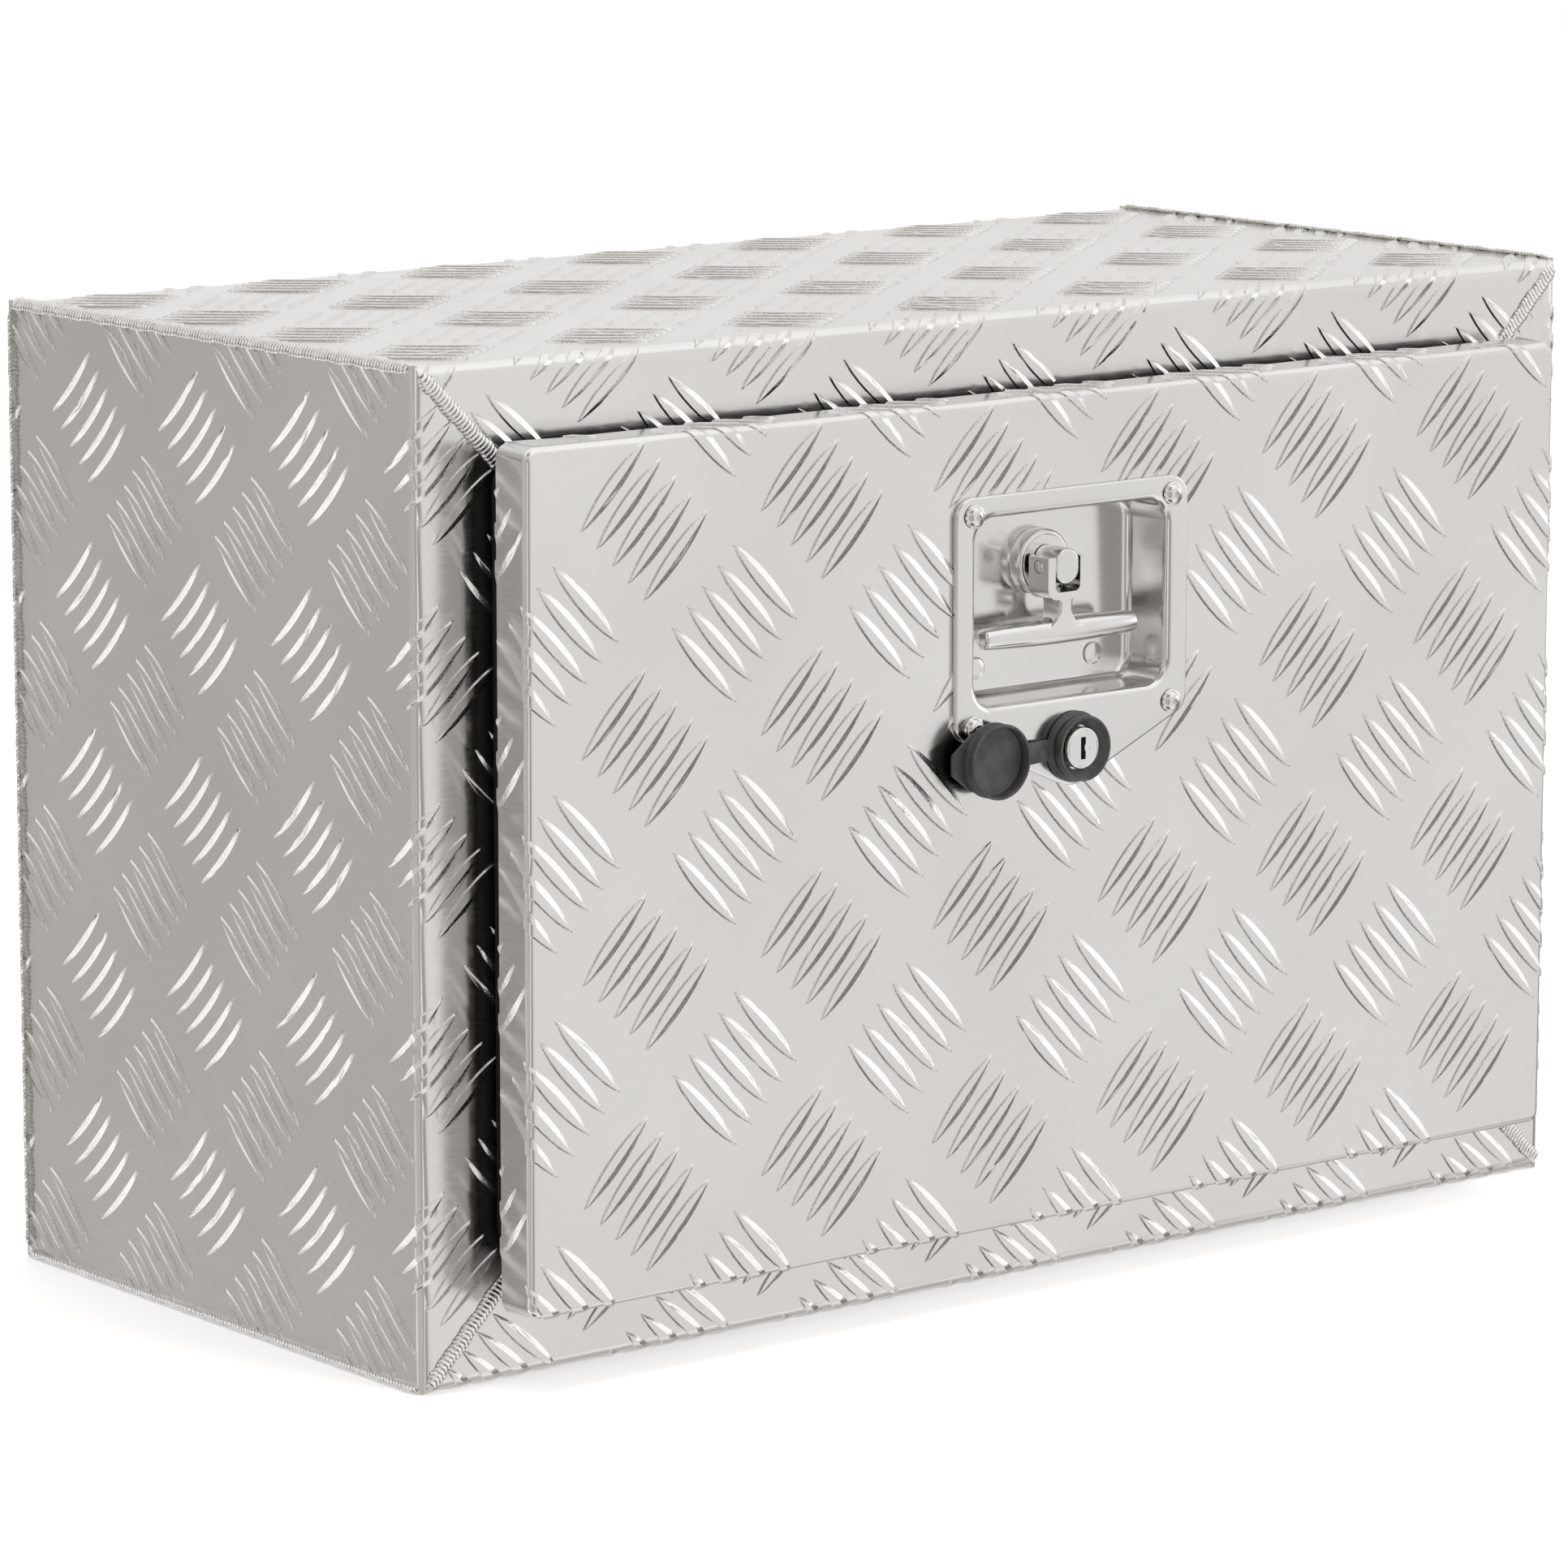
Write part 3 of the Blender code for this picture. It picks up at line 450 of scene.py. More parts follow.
class Tread:
    """The five-bar pattern on a flat blank: groups that lean one way at a lattice's points,
    and groups that lean the other way halfway between them. Lengths along u and v may be
    stretched, as a rolled plate's are."""

    def __init__(self, period, phase, stretch=(1.0, 1.0), gentle=1):
        self.period, self.phase, self.stretch = np.array(period), np.array(phase), np.array(stretch)
        self.gentle = gentle
        self.half = BAR_LENGTH / 2, BAR_WIDTH / 2
        c, s = math.cos(BAR_ANGLE), math.sin(BAR_ANGLE)
        # Each family's offset in periods, and the ways along and across its bars
        self.families = [(offset, np.array([lean * c, s]), np.array([s, -lean * c]))
                         for offset, lean in ((0.0, 1), (0.5, -1))]

    @staticmethod
    def width_at(share):
        """A bar's half width, as a share of the widest, at a share of its half length."""
        return np.clip(1 - share ** 2, 0, 1) ** 0.8

    def rings(self, low, high, keep):
        """The closed rings of every bar that reaches the box from low to high and that keep() wants."""
        angles = np.linspace(0, 2 * np.pi, BAR_POINTS, endpoint=False)
        sides = np.array([np.cos(angles), np.sign(np.sin(angles)) * np.abs(np.sin(angles)) ** 1.6])
        reach = BAR_LENGTH * 1.2
        first = np.floor((low - reach - self.phase) / self.period).astype(int)
        last = np.ceil((high + reach - self.phase) / self.period).astype(int)
        cells = [range(a, b + 1) for a, b in zip(first, last)]
        rings = []
        for (shift, along, across), i, j, k in product(self.families, *cells, GROUP):
            centre = self.phase + (np.array([i, j]) + shift) * self.period
            bar = []
            for inset, _, back in BAR_RINGS:
                wide = sides[1] * (self.half[1] - inset) - back * self.gentle * np.abs(sides[1])
                local = np.outer(sides[0] * (self.half[0] - inset), along) + np.outer(wide, across)
                bar.append(centre + (local + k * BAR_PITCH * across) * self.stretch)
            foot = bar[0]
            if (foot.max(0) > low).all() and (foot.min(0) < high).all() and keep(foot):
                rings += bar
        return rings

    def rise(self, points):
        """The height of the pattern at each point, as a share of a bar's height."""
        result = np.zeros(len(points))
        for shift, along, across in self.families:
            cell = (points - self.phase) / self.period - shift
            local = (cell - np.round(cell)) * self.period / self.stretch
            s = local[:, 0] * along[0] + local[:, 1] * along[1]
            t = local[:, 0] * across[0] + local[:, 1] * across[1]
            t -= np.clip(np.round(t / BAR_PITCH), GROUP[0], GROUP[-1]) * BAR_PITCH
            outside = []
            for inset, _, back in BAR_RINGS:
                length, width = self.half[0] - inset, self.half[1] - inset
                past = np.clip(np.abs(s) - length, 0, None)
                share = self.width_at(np.clip(np.abs(s) / length, 0, 1))
                outside.append(np.abs(t + back * self.gentle * share) - width * share + past)
            height = np.where(outside[-1] <= 1e-9, 1.0, 0.0)
            for (here, there), (low, high) in zip(pairs(outside), pairs([ring[1] for ring in BAR_RINGS])):
                share = -here / np.maximum(there - here, 1e-12)
                height = np.where((here < 0) & (there > 1e-9), low + share * (high - low), height)
            result = np.maximum(result, height)
        return result


class Fold:
    """A plate's section: straight runs joined by bends that turn to the right. It places a
    distance along the plate, measured on its outer face under the bars."""

    def __init__(self, path, radius):
        self.runs, self.creases = [], []
        self.radius, self.length = radius, 0.0
        points = [np.array(p, float) for p in path]
        for i, (here, there) in enumerate(pairs(points)):
            length = np.linalg.norm(there - here)
            way = (there - here) / length
            trim_start = radius if i else 0.0
            trim_end = radius if i < len(points) - 2 else 0.0
            self.add_run("flat", length - trim_start - trim_end, here + way * trim_start, way)
            if trim_end:
                bend = math.pi / 2 * radius
                self.creases += [self.length + part for part in turns(ARC_STEPS, bend)]
                inward = np.array([way[1], -way[0]])
                self.add_run("bend", bend, there - way * radius + inward * radius, way)

    def add_run(self, kind, length, origin, way):
        self.runs.append((kind, self.length, length, origin, way))
        self.length += length

    def bend(self, number):
        """Where a bend starts and ends."""
        run = [r for r in self.runs if r[0] == "bend"][number]
        return run[1], run[1] + run[2]

    def place(self, distance, height):
        """Points of the section, height above its outer face."""
        distance = np.asarray(distance, float)
        heights = np.broadcast_to(height, distance.shape)
        result = np.zeros((len(distance), 2))
        for kind, start, length, origin, way in self.runs:
            last = start + length >= self.length - 1e-9
            chosen = (distance >= start - 1e-9) & ((distance < start + length) | last)
            if start == 0:
                chosen |= distance < 0
            d, h = distance[chosen] - start, heights[chosen]
            inward = np.array([way[1], -way[0]])
            if kind == "flat":
                result[chosen] = origin + np.outer(d, way) - np.outer(h, inward)
            else:
                turn = d / self.radius
                out = np.outer(np.sin(turn), way) - np.outer(np.cos(turn), inward)
                result[chosen] = origin + out * (self.radius + h)[:, None]
        return result


def triangulate(vertices, edges, lines, inside):
    """A flat triangle mesh that follows given edges and open lines, within inside()."""
    vertices, edges = list(vertices), list(edges)
    for line in lines:
        first = len(vertices)
        vertices += line
        edges += [(first + i, first + i + 1) for i in range(len(line) - 1)]
    found, _, faces, origin, _, _ = delaunay_2d_cdt([Vector(v) for v in vertices], edges, [], 0, 1e-7, True)
    points = np.array([tuple(v) for v in found])
    faces = np.array(faces)
    faces = faces[inside(points[faces].mean(axis=1))]
    a, b, c = points[faces[:, 0]], points[faces[:, 1]], points[faces[:, 2]]
    area = (b[:, 0] - a[:, 0]) * (c[:, 1] - a[:, 1]) - (c[:, 0] - a[:, 0]) * (b[:, 1] - a[:, 1])
    longest = np.max([np.linalg.norm(p - q, axis=1) for p, q in ((a, b), (b, c), (c, a))], axis=0)
    return points, faces[np.abs(area) > THINNEST * longest], origin


def closed_rings(rings):
    """The vertices and edges of closed rings."""
    vertices, edges = [], []
    for ring in rings:
        first = len(vertices)
        vertices += list(ring)
        edges += [(first + i, first + (i + 1) % len(ring)) for i in range(len(ring))]
    return vertices, edges


def rim_of(faces):
    """The directed edges that only one triangle has."""
    edges = np.concatenate([faces[:, (0, 1)], faces[:, (1, 2)], faces[:, (2, 0)]])
    known = {tuple(edge) for edge in edges}
    return [edge for edge in known if (edge[1], edge[0]) not in known]


def tread_sheet(name, outlines, creases, tread, inside, place, body, replaces, keep=None):
    """A closed sheet of tread plate: the barred face, the plain face and the edges between them.
    outlines are the closed borders of the blank, place() bends the blank into shape."""
    borders = np.concatenate([np.array(o) for o in outlines])
    rings = tread.rings(borders.min(0), borders.max(0), keep or (lambda foot: True))
    points, faces, _ = triangulate(*closed_rings(rings + outlines), creases, inside)
    rise = tread.rise(points)
    if keep:
        rise = np.where(clear_of(points, rings), 0, rise)
    rim = rim_of(faces)
    corners = sorted({v for edge in rim for v in edge})
    number = {v: i for i, v in enumerate(corners)}
    under_points, under_faces, origin = triangulate(
        points[corners], [(number[a], number[b]) for a, b in rim], creases, inside)
    face_map = {source: i for i, sources in enumerate(origin) for source in sources}
    outer = place(points, rise * RISE)
    inner = place(under_points, np.full(len(under_points), -PLATE))
    vertices = np.concatenate([outer, inner])
    shift = len(points)
    all_faces = [tuple(f) for f in faces]
    all_faces += [tuple(int(shift + v) for v in f[::-1]) for f in under_faces]
    for a, b in rim:
        all_faces.append((b, a, shift + face_map[number[a]], shift + face_map[number[b]]))
    used = sorted({int(v) for f in all_faces for v in f})
    renumber = {v: i for i, v in enumerate(used)}
    mesh = mesh_from(name, vertices[used], [[renumber[int(v)] for v in f] for f in all_faces], merge=None)
    attribute = mesh.attributes.new("rise", "FLOAT", "POINT")
    attribute.data.foreach_set("value", np.concatenate([rise, np.zeros(len(inner))])[used].astype(np.float32))
    piece(name, mesh, TREAD, body, replaces, sharp=38)
    lifted = place(points, rise * RISE + NUDGE) - outer
    lowered = inner - place(under_points, np.full(len(under_points), NUDGE - PLATE))
    slope = np.ptp(rise[faces], axis=1) > 1e-4
    shade(mesh, np.concatenate([lifted, lowered])[used], np.flatnonzero(slope), len(faces) + len(under_faces))


def values_of(items, key, kind=float, shape=()):
    """One setting of each item of a mesh, as an array."""
    values = np.zeros((len(items), *shape), kind)
    items.foreach_get(key, values.ravel())
    return values


def shade(mesh, ways, flanks, skins):
    """Give flats and bends the normals of the plain plate, and the bars' flanks their own, so that
    a bar's outline stays crisp. The first skins faces are the plate's two skins."""
    faces = values_of(mesh.polygons, "normal", shape=(3,))
    areas = values_of(mesh.polygons, "area")
    corners = values_of(mesh.loops, "vertex_index", int)
    owner = np.repeat(np.arange(len(faces)), values_of(mesh.polygons, "loop_total", int))
    normals = np.where((owner < skins)[:, None], ways[corners], faces[owner])
    chosen = np.isin(owner, flanks)
    sums = np.zeros((len(mesh.vertices), 3))
    np.add.at(sums, corners[chosen], (faces * areas[:, None])[owner[chosen]])
    normals[chosen] = sums[corners[chosen]]
    normals /= np.maximum(np.linalg.norm(normals, axis=1), 1e-12)[:, None]
    mesh.normals_split_custom_set(normals)


def clear_of(points, rings):
    """Which points lie on no ring's bar, where bars were left out."""
    reach = BAR_LENGTH * 0.55
    result = np.ones(len(points), bool)
    for ring in rings[::len(BAR_RINGS)]:
        result &= np.abs(points - ring.mean(0)).max(1) > reach
    return result


# ---------------------------------------------------------------- case

def folded_sheet(name, node, fold, edge_at, stations, tread, shape):
    """A sheet of the case: a strip with both sides alike, edge_at() wide to each side, and folded
    across. shape() makes points from places across the strip and along its section."""
    right = [(edge_at(a), a) for a in sorted({0.0, *stations, fold.length})]
    outline = right + [(-u, a) for u, a in reversed(right)]

    def inside(p):
        limit = np.array([edge_at(a) for a in p[:, 1]])
        return (np.abs(p[:, 0]) < limit - BORDER) & (p[:, 1] > BORDER) & (p[:, 1] < fold.length - BORDER)

    def place(p, height):
        return np.column_stack(shape(p[:, 0], *fold.place(p[:, 1], height).T))

    lines = [[(-1.0, a), (1.0, a)] for a in fold.creases]
    tread_sheet(name, [outline], lines, tread, inside, place, "case", [node])


def case_top_back():
    """The sheet that makes the top flange, the top and the back."""
    fold = Fold([(FRONT + RISE, TOP - FLANGE), (FRONT + RISE, TOP - RISE),
                 (BACK - RISE, TOP - RISE), (BACK - RISE, BOTTOM + PLATE + RISE + 0.0003)], BEND)
    start, end = fold.bend(0)
    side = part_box("case_top_back")[1].x

    def edge_at(a):
        if a > end:
            return side
        z = float(fold.place([a], 0.0)[0][1])
        return min(side, RIGHT - (TOP - RISE - z) - MITRE_GAP)

    stations = {start, *[c for c in fold.creases if c <= end], end + STEP}
    tread = Tread(CASE_PERIOD, (FIRST_GROUP, (start + end) / 2), CASE_STRETCH)
    folded_sheet("tread_top_back", "case_top_back", fold, edge_at, stations, tread, lambda x, y, z: (x, y, z))


def case_bottom():
    """The sheet that makes the bottom and the wide flange under the door."""
    fold = Fold([(BACK, BOTTOM + RISE), (FRONT + RISE, BOTTOM + RISE), (FRONT + RISE, SILL)], BEND)
    start, end = fold.bend(0)
    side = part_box("case_bottom")[1].x

    def edge_at(a):
        if a < start:
            return side
        z = float(fold.place([a], 0.0)[0][1])
        return min(side, RIGHT - min(z - RISE, FLANGE) - MITRE_GAP)

    corner = fold.length - (SILL - FLANGE) + RISE
    stations = {start - STEP, *fold.creases, end, corner}
    tread = Tread(CASE_PERIOD, (FIRST_GROUP, (start + end) / 2 + 0.0368), CASE_STRETCH)
    folded_sheet("tread_bottom", "case_bottom", fold, edge_at, stations, tread, lambda x, y, z: (x, y, z))


def case_side(name, node, side):
    """A side sheet with its mitred front flange. side is 1 on the left and -1 on the right."""
    edge = LEFT + RISE
    fold = Fold([(LEFT + FLANGE, FRONT + RISE), (edge, FRONT + RISE), (edge, BACK)], BEND)
    start, end = fold.bend(0)
    middle = (TOP + BOTTOM) / 2
    tall = (TOP - BOTTOM) / 2

    def edge_at(a):
        if a > end:
            return tall
        x = float(fold.place([a], 0.0)[0][0]) - LEFT
        return tall - max(x - RISE, 0) - MITRE_GAP if x > PLATE + RISE else tall

    wall = next(c for c in fold.creases if float(fold.place([c], 0.0)[0][0]) - LEFT < PLATE + RISE)
    stations = {start, *fold.creases, wall - STEP, end}
    tread = Tread(SIDE_PERIOD, (0.01492 - middle, end - BEND - RISE + 0.0325), SIDE_STRETCH, gentle=-1)
    folded_sheet(name, node, fold, edge_at, stations, tread, lambda z, x, y: (x * side, y, z + middle))


# ---------------------------------------------------------------- welds

def within_pass(along, lateral, ripple):
    """A place on a weld, from -1 to 1 between the bowed grooves of the pass it lies in."""
    phase = (along + 0.0011 * lateral ** 2) / ripple
    return 2 * (phase - math.floor(phase)) - 1


def weld(name, start, end, out, width=0.0066, height=0.0019, ripple=0.0019, taper=0.004):
    """A weld bead from start to end that swells towards out, with the ripples of its passes."""
    start, end, out = Vector(start), Vector(end), Vector(out).normalized()
    way = end - start
    length = way.length
    way.normalize()
    side = way.cross(out)
    loops = []
    for d in turns(int(length / 0.00024), length):
        fade = min(1.0, (min(d, length - d) + 0.0006) / taper) ** 0.5
        wander = 0.00022 * math.sin(d * 410) + 0.00015 * math.sin(d * 1130 + 1)
        swell = 1 + 0.05 * math.sin(d * 270 + 2)
        loop = []
        for angle in turns(8, math.pi):
            lateral = -math.cos(angle)
            scallop = math.sqrt(max(0.0, 1 - within_pass(d, lateral, ripple) ** 2))
            lift = math.sin(angle) ** 0.7 * (0.45 + 0.55 * scallop) * height * swell * fade
            across = lateral * width / 2 * swell * (0.35 + 0.65 * fade) + wander
            loop.append(start + way * d + side * across + out * lift)
        loop.append(start + way * d - out * 0.0008)
        loops.append(loop)
    mesh = mesh_from(name, *loft(loops))
    # How far each point lies into the line between passes, where the weld's material paints shade
    grooves = []
    for vertex in mesh.vertices:
        offset = vertex.co - start
        grooves.append(within_pass(offset.dot(way), offset.dot(side) / (width / 2), ripple) ** 2)
    mesh.attributes.new("groove", "FLOAT", "POINT").data.foreach_set("value", grooves)
    piece(name, mesh, WELD, "case", sharp=60)


def case_welds():
    """Beads down the mitres of the front frame, and along the case's edges."""
    near, inner, edge = 0.004, FLANGE - 0.001, 0.0012
    for x_name, x, side in (("left", LEFT, 1), ("right", RIGHT, -1)):
        for z_name, z, up in (("top", TOP, 1), ("bottom", BOTTOM, -1)):
            start, end = ((x + side * d, FRONT + 0.0006, z - up * d) for d in (near, inner))
            weld(f"weld_mitre_{z_name}_{x_name}", start, end, (0, -1, 0))
            start, end = ((x + side * edge, y, z - up * edge) for y in (FRONT + 0.005, BACK - 0.003))
            weld(f"weld_edge_{z_name}_{x_name}", start, end, (-side, 0, up), width=0.0060, height=0.0016)
        start, end = ((x + side * edge, BACK - edge, z) for z in (TOP - near, BOTTOM + near))
        weld(f"weld_back_{x_name}", start, end, (-side, 1, 0), height=0.0017)
    start, end = ((x, BACK - edge, BOTTOM + 0.0025) for x in (LEFT + near, RIGHT - near))
    weld("weld_back_bottom", start, end, (0, 1, 0), width=0.0052, height=0.0012)


# ---------------------------------------------------------------- door

class Pan:
    """The door's pressed pan: a flat face whose border bends back into four joined sides."""

    def __init__(self):
        self.middle = np.array([0.0, (DOOR_LOW.z + DOOR_HIGH.z) / 2])
        half = np.array([DOOR_HIGH.x, (DOOR_HIGH.z - DOOR_LOW.z) / 2]) - RISE
        self.core = half - DOOR_CORNER
        self.corner = DOOR_CORNER - DOOR_BEND
        self.front = DOOR_LOW.y + RISE
        self.arc = math.pi / 2 * DOOR_BEND
        self.depth = self.arc + (DOOR_HIGH.y - 0.0010 - self.front - DOOR_BEND)

    def beyond(self, points):
        """How far points lie outside the flat face, and the way out there."""
        local = points - self.middle
        q = np.abs(local) - self.core
        outer = np.clip(q, 0, None)
        reach = np.linalg.norm(outer, axis=1)
        way = outer / np.maximum(reach, 1e-12)[:, None] * np.sign(local)
        distance = reach + np.clip(q.max(1), None, 0) - self.corner
        return distance, way

    def place(self, points, height):
        distance, way = self.beyond(points)
        d = np.clip(distance, 0, None)
        turn = np.clip(d / DOOR_BEND, 0, math.pi / 2)
        root = points - way * d[:, None]
        past = np.clip(d - self.arc, 0, None)
        span = DOOR_BEND * np.sin(turn) + height * np.sin(turn)
        flat = root + way * span[:, None]
        y = self.front + DOOR_BEND - (DOOR_BEND + height) * np.cos(turn) + past
        return np.column_stack([flat[:, 0], y, flat[:, 1]])

    def ring(self, distance, steps=8):
        """The closed line at a distance outside the flat face."""
        radius = self.corner + distance
        low = self.middle - self.core - radius
        high = self.middle + self.core + radius
        return rounded_box(low, high, radius, steps)


def dish_outline(grow, radius, steps=8):
    """The dish's mouth, made larger by grow."""
    return rounded_box((-DISH_HALF - grow, DISH_FLOOR_Z[0] - grow),
                       (DISH_HALF + grow, DISH_FLOOR_Z[1] + grow), radius, steps)


def door_skin():
    """The door's outer skin, barred right round its bends."""
    pan = Pan()
    creases = [pan.ring(d) for d in turns(ARC_STEPS, pan.arc)]
    creases = [line + line[:1] for line in creases]
    dish_hole = dish_outline(HOLE_GAP, DISH_CORNER, 6)
    key_hole = circle((KEY.x, KEY.z), 0.0098, 32)

    def inside(p):
        distance, _ = pan.beyond(p)
        return (distance < pan.depth) & ~in_outline(p, dish_hole) & ~in_outline(p, key_hole)

    def keep(foot):
        distance, _ = pan.beyond(foot)
        q = np.abs(foot - pan.middle) - pan.core
        fan = (q > -0.0005).all(1) & (distance > pan.corner)
        return not fan.any()

    tread = Tread(DOOR_PERIOD, pan.middle + np.array([-0.0408, -0.0394]), DOOR_STRETCH)
    tread_sheet("tread_door", [pan.ring(pan.depth), dish_hole, key_hole], creases, tread, inside, pan.place,
                "door", ["door_panel"], keep)


def door_lips():
    """The turned-in lips at the back of the door, barred on the side that faces the case."""
    low, high = DOOR_LOW, DOOR_HIGH
    back = DOOR_HIGH.y - RISE
    inset = RISE + PLATE + 0.0001
    outer = rounded_box((low.x + inset, low.z + inset), (high.x - inset, high.z - inset), 0.0025)
    mouth = rounded_box((low.x + 0.030, low.z + 0.032), (high.x - 0.030, high.z - 0.030), 0.003)

    def inside(p):
        return in_outline(p, outer) & ~in_outline(p, mouth)

    def place(p, height):
        return np.column_stack([p[:, 0], back + height, p[:, 1]])

    tread = Tread(DOOR_PERIOD, (-0.01, 0.02))
    tread_sheet("tread_door_lips", [outer, mouth], [], tread, inside, place, "door", [])


def door_seal():
    """A hollow-looking rubber bulb strip with a flat foot on the lips."""
    low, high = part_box("door_seal")
    width = 0.012
    base, tip = low.y, high.y
    section = [(0.0, base), (0.0, base + 0.0016), (0.0012, base + 0.0021)]
    section += [(0.006 - 0.0048 * math.cos(a), base + 0.0021 + (tip - base - 0.0021) * math.sin(a) ** 0.8)
                for a in (math.pi * k / 10 for k in range(1, 10))]
    section += [(width - 0.0012, base + 0.0021), (width, base + 0.0016), (width, base)]
    loops = [at(rounded_box((low.x + inset, low.z + inset), (high.x - inset, high.z - inset),
                            0.016 - inset, 8), y) for inset, y in section]
    mesh = mesh_from("seal_bulb", *loft(loops, around=True))
    # The seal's near-black rubber is painted shade of the gap
    piece("seal_bulb", mesh, SHADED_SEAL, "door", ["door_seal"], sharp=50)


# ---------------------------------------------------------------- latch

def latch_dish():
    """The pressed plate: a flat face, a rolled edge, a curl into the dish, and the dish itself."""
    half, shoulder = DISH_HIGH.x, LATCH_Z - 0.046
    corners = [(-half, DISH_HIGH.z), (half, DISH_HIGH.z), (half, shoulder),
               (0.0, DISH_LOW.z - 0.0028), (-half, shoulder)]
    radii = [0.009, 0.009, 0.009, 0.014, 0.009]
    edge, curl, draft = 0.0011, 0.0036, 0.0006
    vertices, faces = [], []

    def add(new_vertices, new_faces):
        shift = len(vertices)
        vertices.extend(tuple(v) for v in new_vertices)
        faces.extend(tuple(shift + int(i) for i in f) for f in new_faces)

    def plate_outline(inset):
        shrunk = []
        for i, corner in enumerate(corners):
            here = Vector(corner)
            back = (here - Vector(corners[i - 1])).normalized()
            ahead = (Vector(corners[(i + 1) % len(corners)]) - here).normalized()
            inward = (ahead - back).normalized()
            shrunk.append(here + inward * inset / math.cos(back.angle(ahead) / 2))
        return rounded(shrunk, [r - inset for r in radii], 8)

    loops = [at(plate_outline(inset), y) for inset, y in rolled(edge, DISH_FACE)]
    loops.append(at(plate_outline(0.0), DISH_FACE + 0.0023))
    add(*loft(loops, caps=False))

    profile = rolled(curl, DISH_FACE, 6)
    profile += [(-draft - curl * (1 - math.cos(a)), DISH_FLOOR - curl + curl * math.sin(a)) for a in turns(6)]
    loops = [at(dish_outline(grow, DISH_CORNER + grow), y) for grow, y in profile]
    add(*loft(loops, caps=False))
    add(loops[-1], [tuple(range(len(loops[-1])))])

    outer, inner = plate_outline(edge), dish_outline(curl, DISH_CORNER + curl)
    points, flat_faces, _ = triangulate(
        *closed_rings([outer, inner]), [], lambda p: in_outline(p, outer) & ~in_outline(p, inner))
    add([(x, DISH_FACE, z) for x, z in points], flat_faces)
    mesh = mesh_from("dish_pressing", vertices, faces)
    if sum(polygon.normal.y for polygon in mesh.polygons if polygon.area > 1e-4) > 0:
        mesh.flip_normals()
    obj = piece("dish_pressing", mesh, POLISHED, "door", ["latch_dish"], sharp=50)
    wall = obj.modifiers.new("wall", "SOLIDIFY")
    wall.thickness = 0.0011
    wall.offset = -1


def latch_screws():
    """Flanged button heads with a hexagon socket."""
    profile = [(0.0, -0.0029), (0.0014, -0.00288), (0.0026, -0.0026), (0.0035, -0.0020), (0.0039, -0.0013),
               (0.0041, -0.0010), (0.0046, -0.0009), (0.0049, -0.0006), (0.0049, 0.0), (0.0025, 0.0),
               (0.0025, SHANK), (0.0, SHANK)]
    for i, middle in enumerate(SCREWS, 1):
        node = f"latch_screw_{i}"
        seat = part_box(node)[1].y - SHANK
        socket = prism(circle((middle.x, middle.z), 0.00150, 6), seat - 0.004, seat - 0.0012)
        mesh = boolean(lathe(profile, (middle.x, seat, middle.z), sides=48), socket)
        piece(f"screw_head_{i}", mesh, POLISHED, "door", [node], sharp=32)


def latch_rivets():
    """Domed rivet heads on the dish's floor."""
    radius = 0.0048
    for i in (1, 2):
        node = f"dish_rivet_{i}"
        low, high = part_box(node)
        seat = low.y + 0.0012
        profile = [(radius * math.sin(a), -0.0010 * math.cos(a) ** 0.7) for a in turns(8)[:-1]]
        profile += [(radius, 0.0), (0.0025, 0.0002), (0.0025, high.y - seat), (0.0, high.y - seat)]
        centre = ((low.x + high.x) / 2, seat, (low.z + high.z) / 2)
        spun(f"rivet_head_{i}", profile, centre, POLISHED, "door", [node], sides=48)


def spindle_bush():
    """The stepped bush that the handle turns in."""
    low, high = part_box("spindle_bush")
    face = low.y
    radius, bore, shank = 0.0138, 0.0063, 0.0080
    profile = [(bore, face + 0.0002), (0.0108, face), (0.0114, face + 0.00005), (0.0117, face + 0.0004)]
    profile += [(0.0122 + 0.0016 * math.sin(a), face + 0.0020 - 0.0016 * math.cos(a)) for a in turns(6)]
    profile += [(radius, DISH_FLOOR - 0.0008), (radius - 0.0003, DISH_FLOOR), (shank, DISH_FLOOR),
                (shank, high.y), (bore, high.y)]
    spun("bush", profile, (SPINDLE.x, 0, SPINDLE.z), POLISHED, "door", ["spindle_bush"], sides=96,
         closed=True, sharp=40)


def spindle_shaft():
    """The oblong head that shows inside the handle's yoke, and the shaft behind it."""
    low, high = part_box("spindle")
    x, z = SPINDLE.x, SPINDLE.z
    axis = (x, 0, z)
    half_wide, half_tall, corner = 0.0062, 0.0074, 0.0058
    head_back = DISH_FLOOR - 0.0073
    loops = []
    for inset, y in rolled(0.0011, low.y):
        outline = rounded_box((x - half_wide + inset, z - half_tall + inset),
                              (x + half_wide - inset, z + half_tall - inset), corner - inset, 10)
        loops.append(at(outline, y))
    loops.append(at(outline, head_back))
    head = mesh_from("shaft_head", *loft(loops))
    piece("shaft_head", head, POLISHED, "latch_spindle", ["spindle"], sharp=50)
    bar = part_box("latch_bar")[0].y
    profile = [(0.0, head_back - 0.001), (0.0060, head_back - 0.001), (0.0060, bar - 0.0003), (0.0055, bar),
               (0.0, bar)]
    spun("shaft_round", profile, axis, POLISHED, "latch_spindle")
    start, ridges = bar - 0.001, 26
    steps = enumerate(turns(ridges, high.y - start))
    thread = [(0.0, start), *[(0.0038 if k % 2 else 0.0034, start + y) for k, y in steps], (0.0, high.y)]
    spun("shaft_thread", thread, axis, ZINC, "latch_spindle", sides=32)


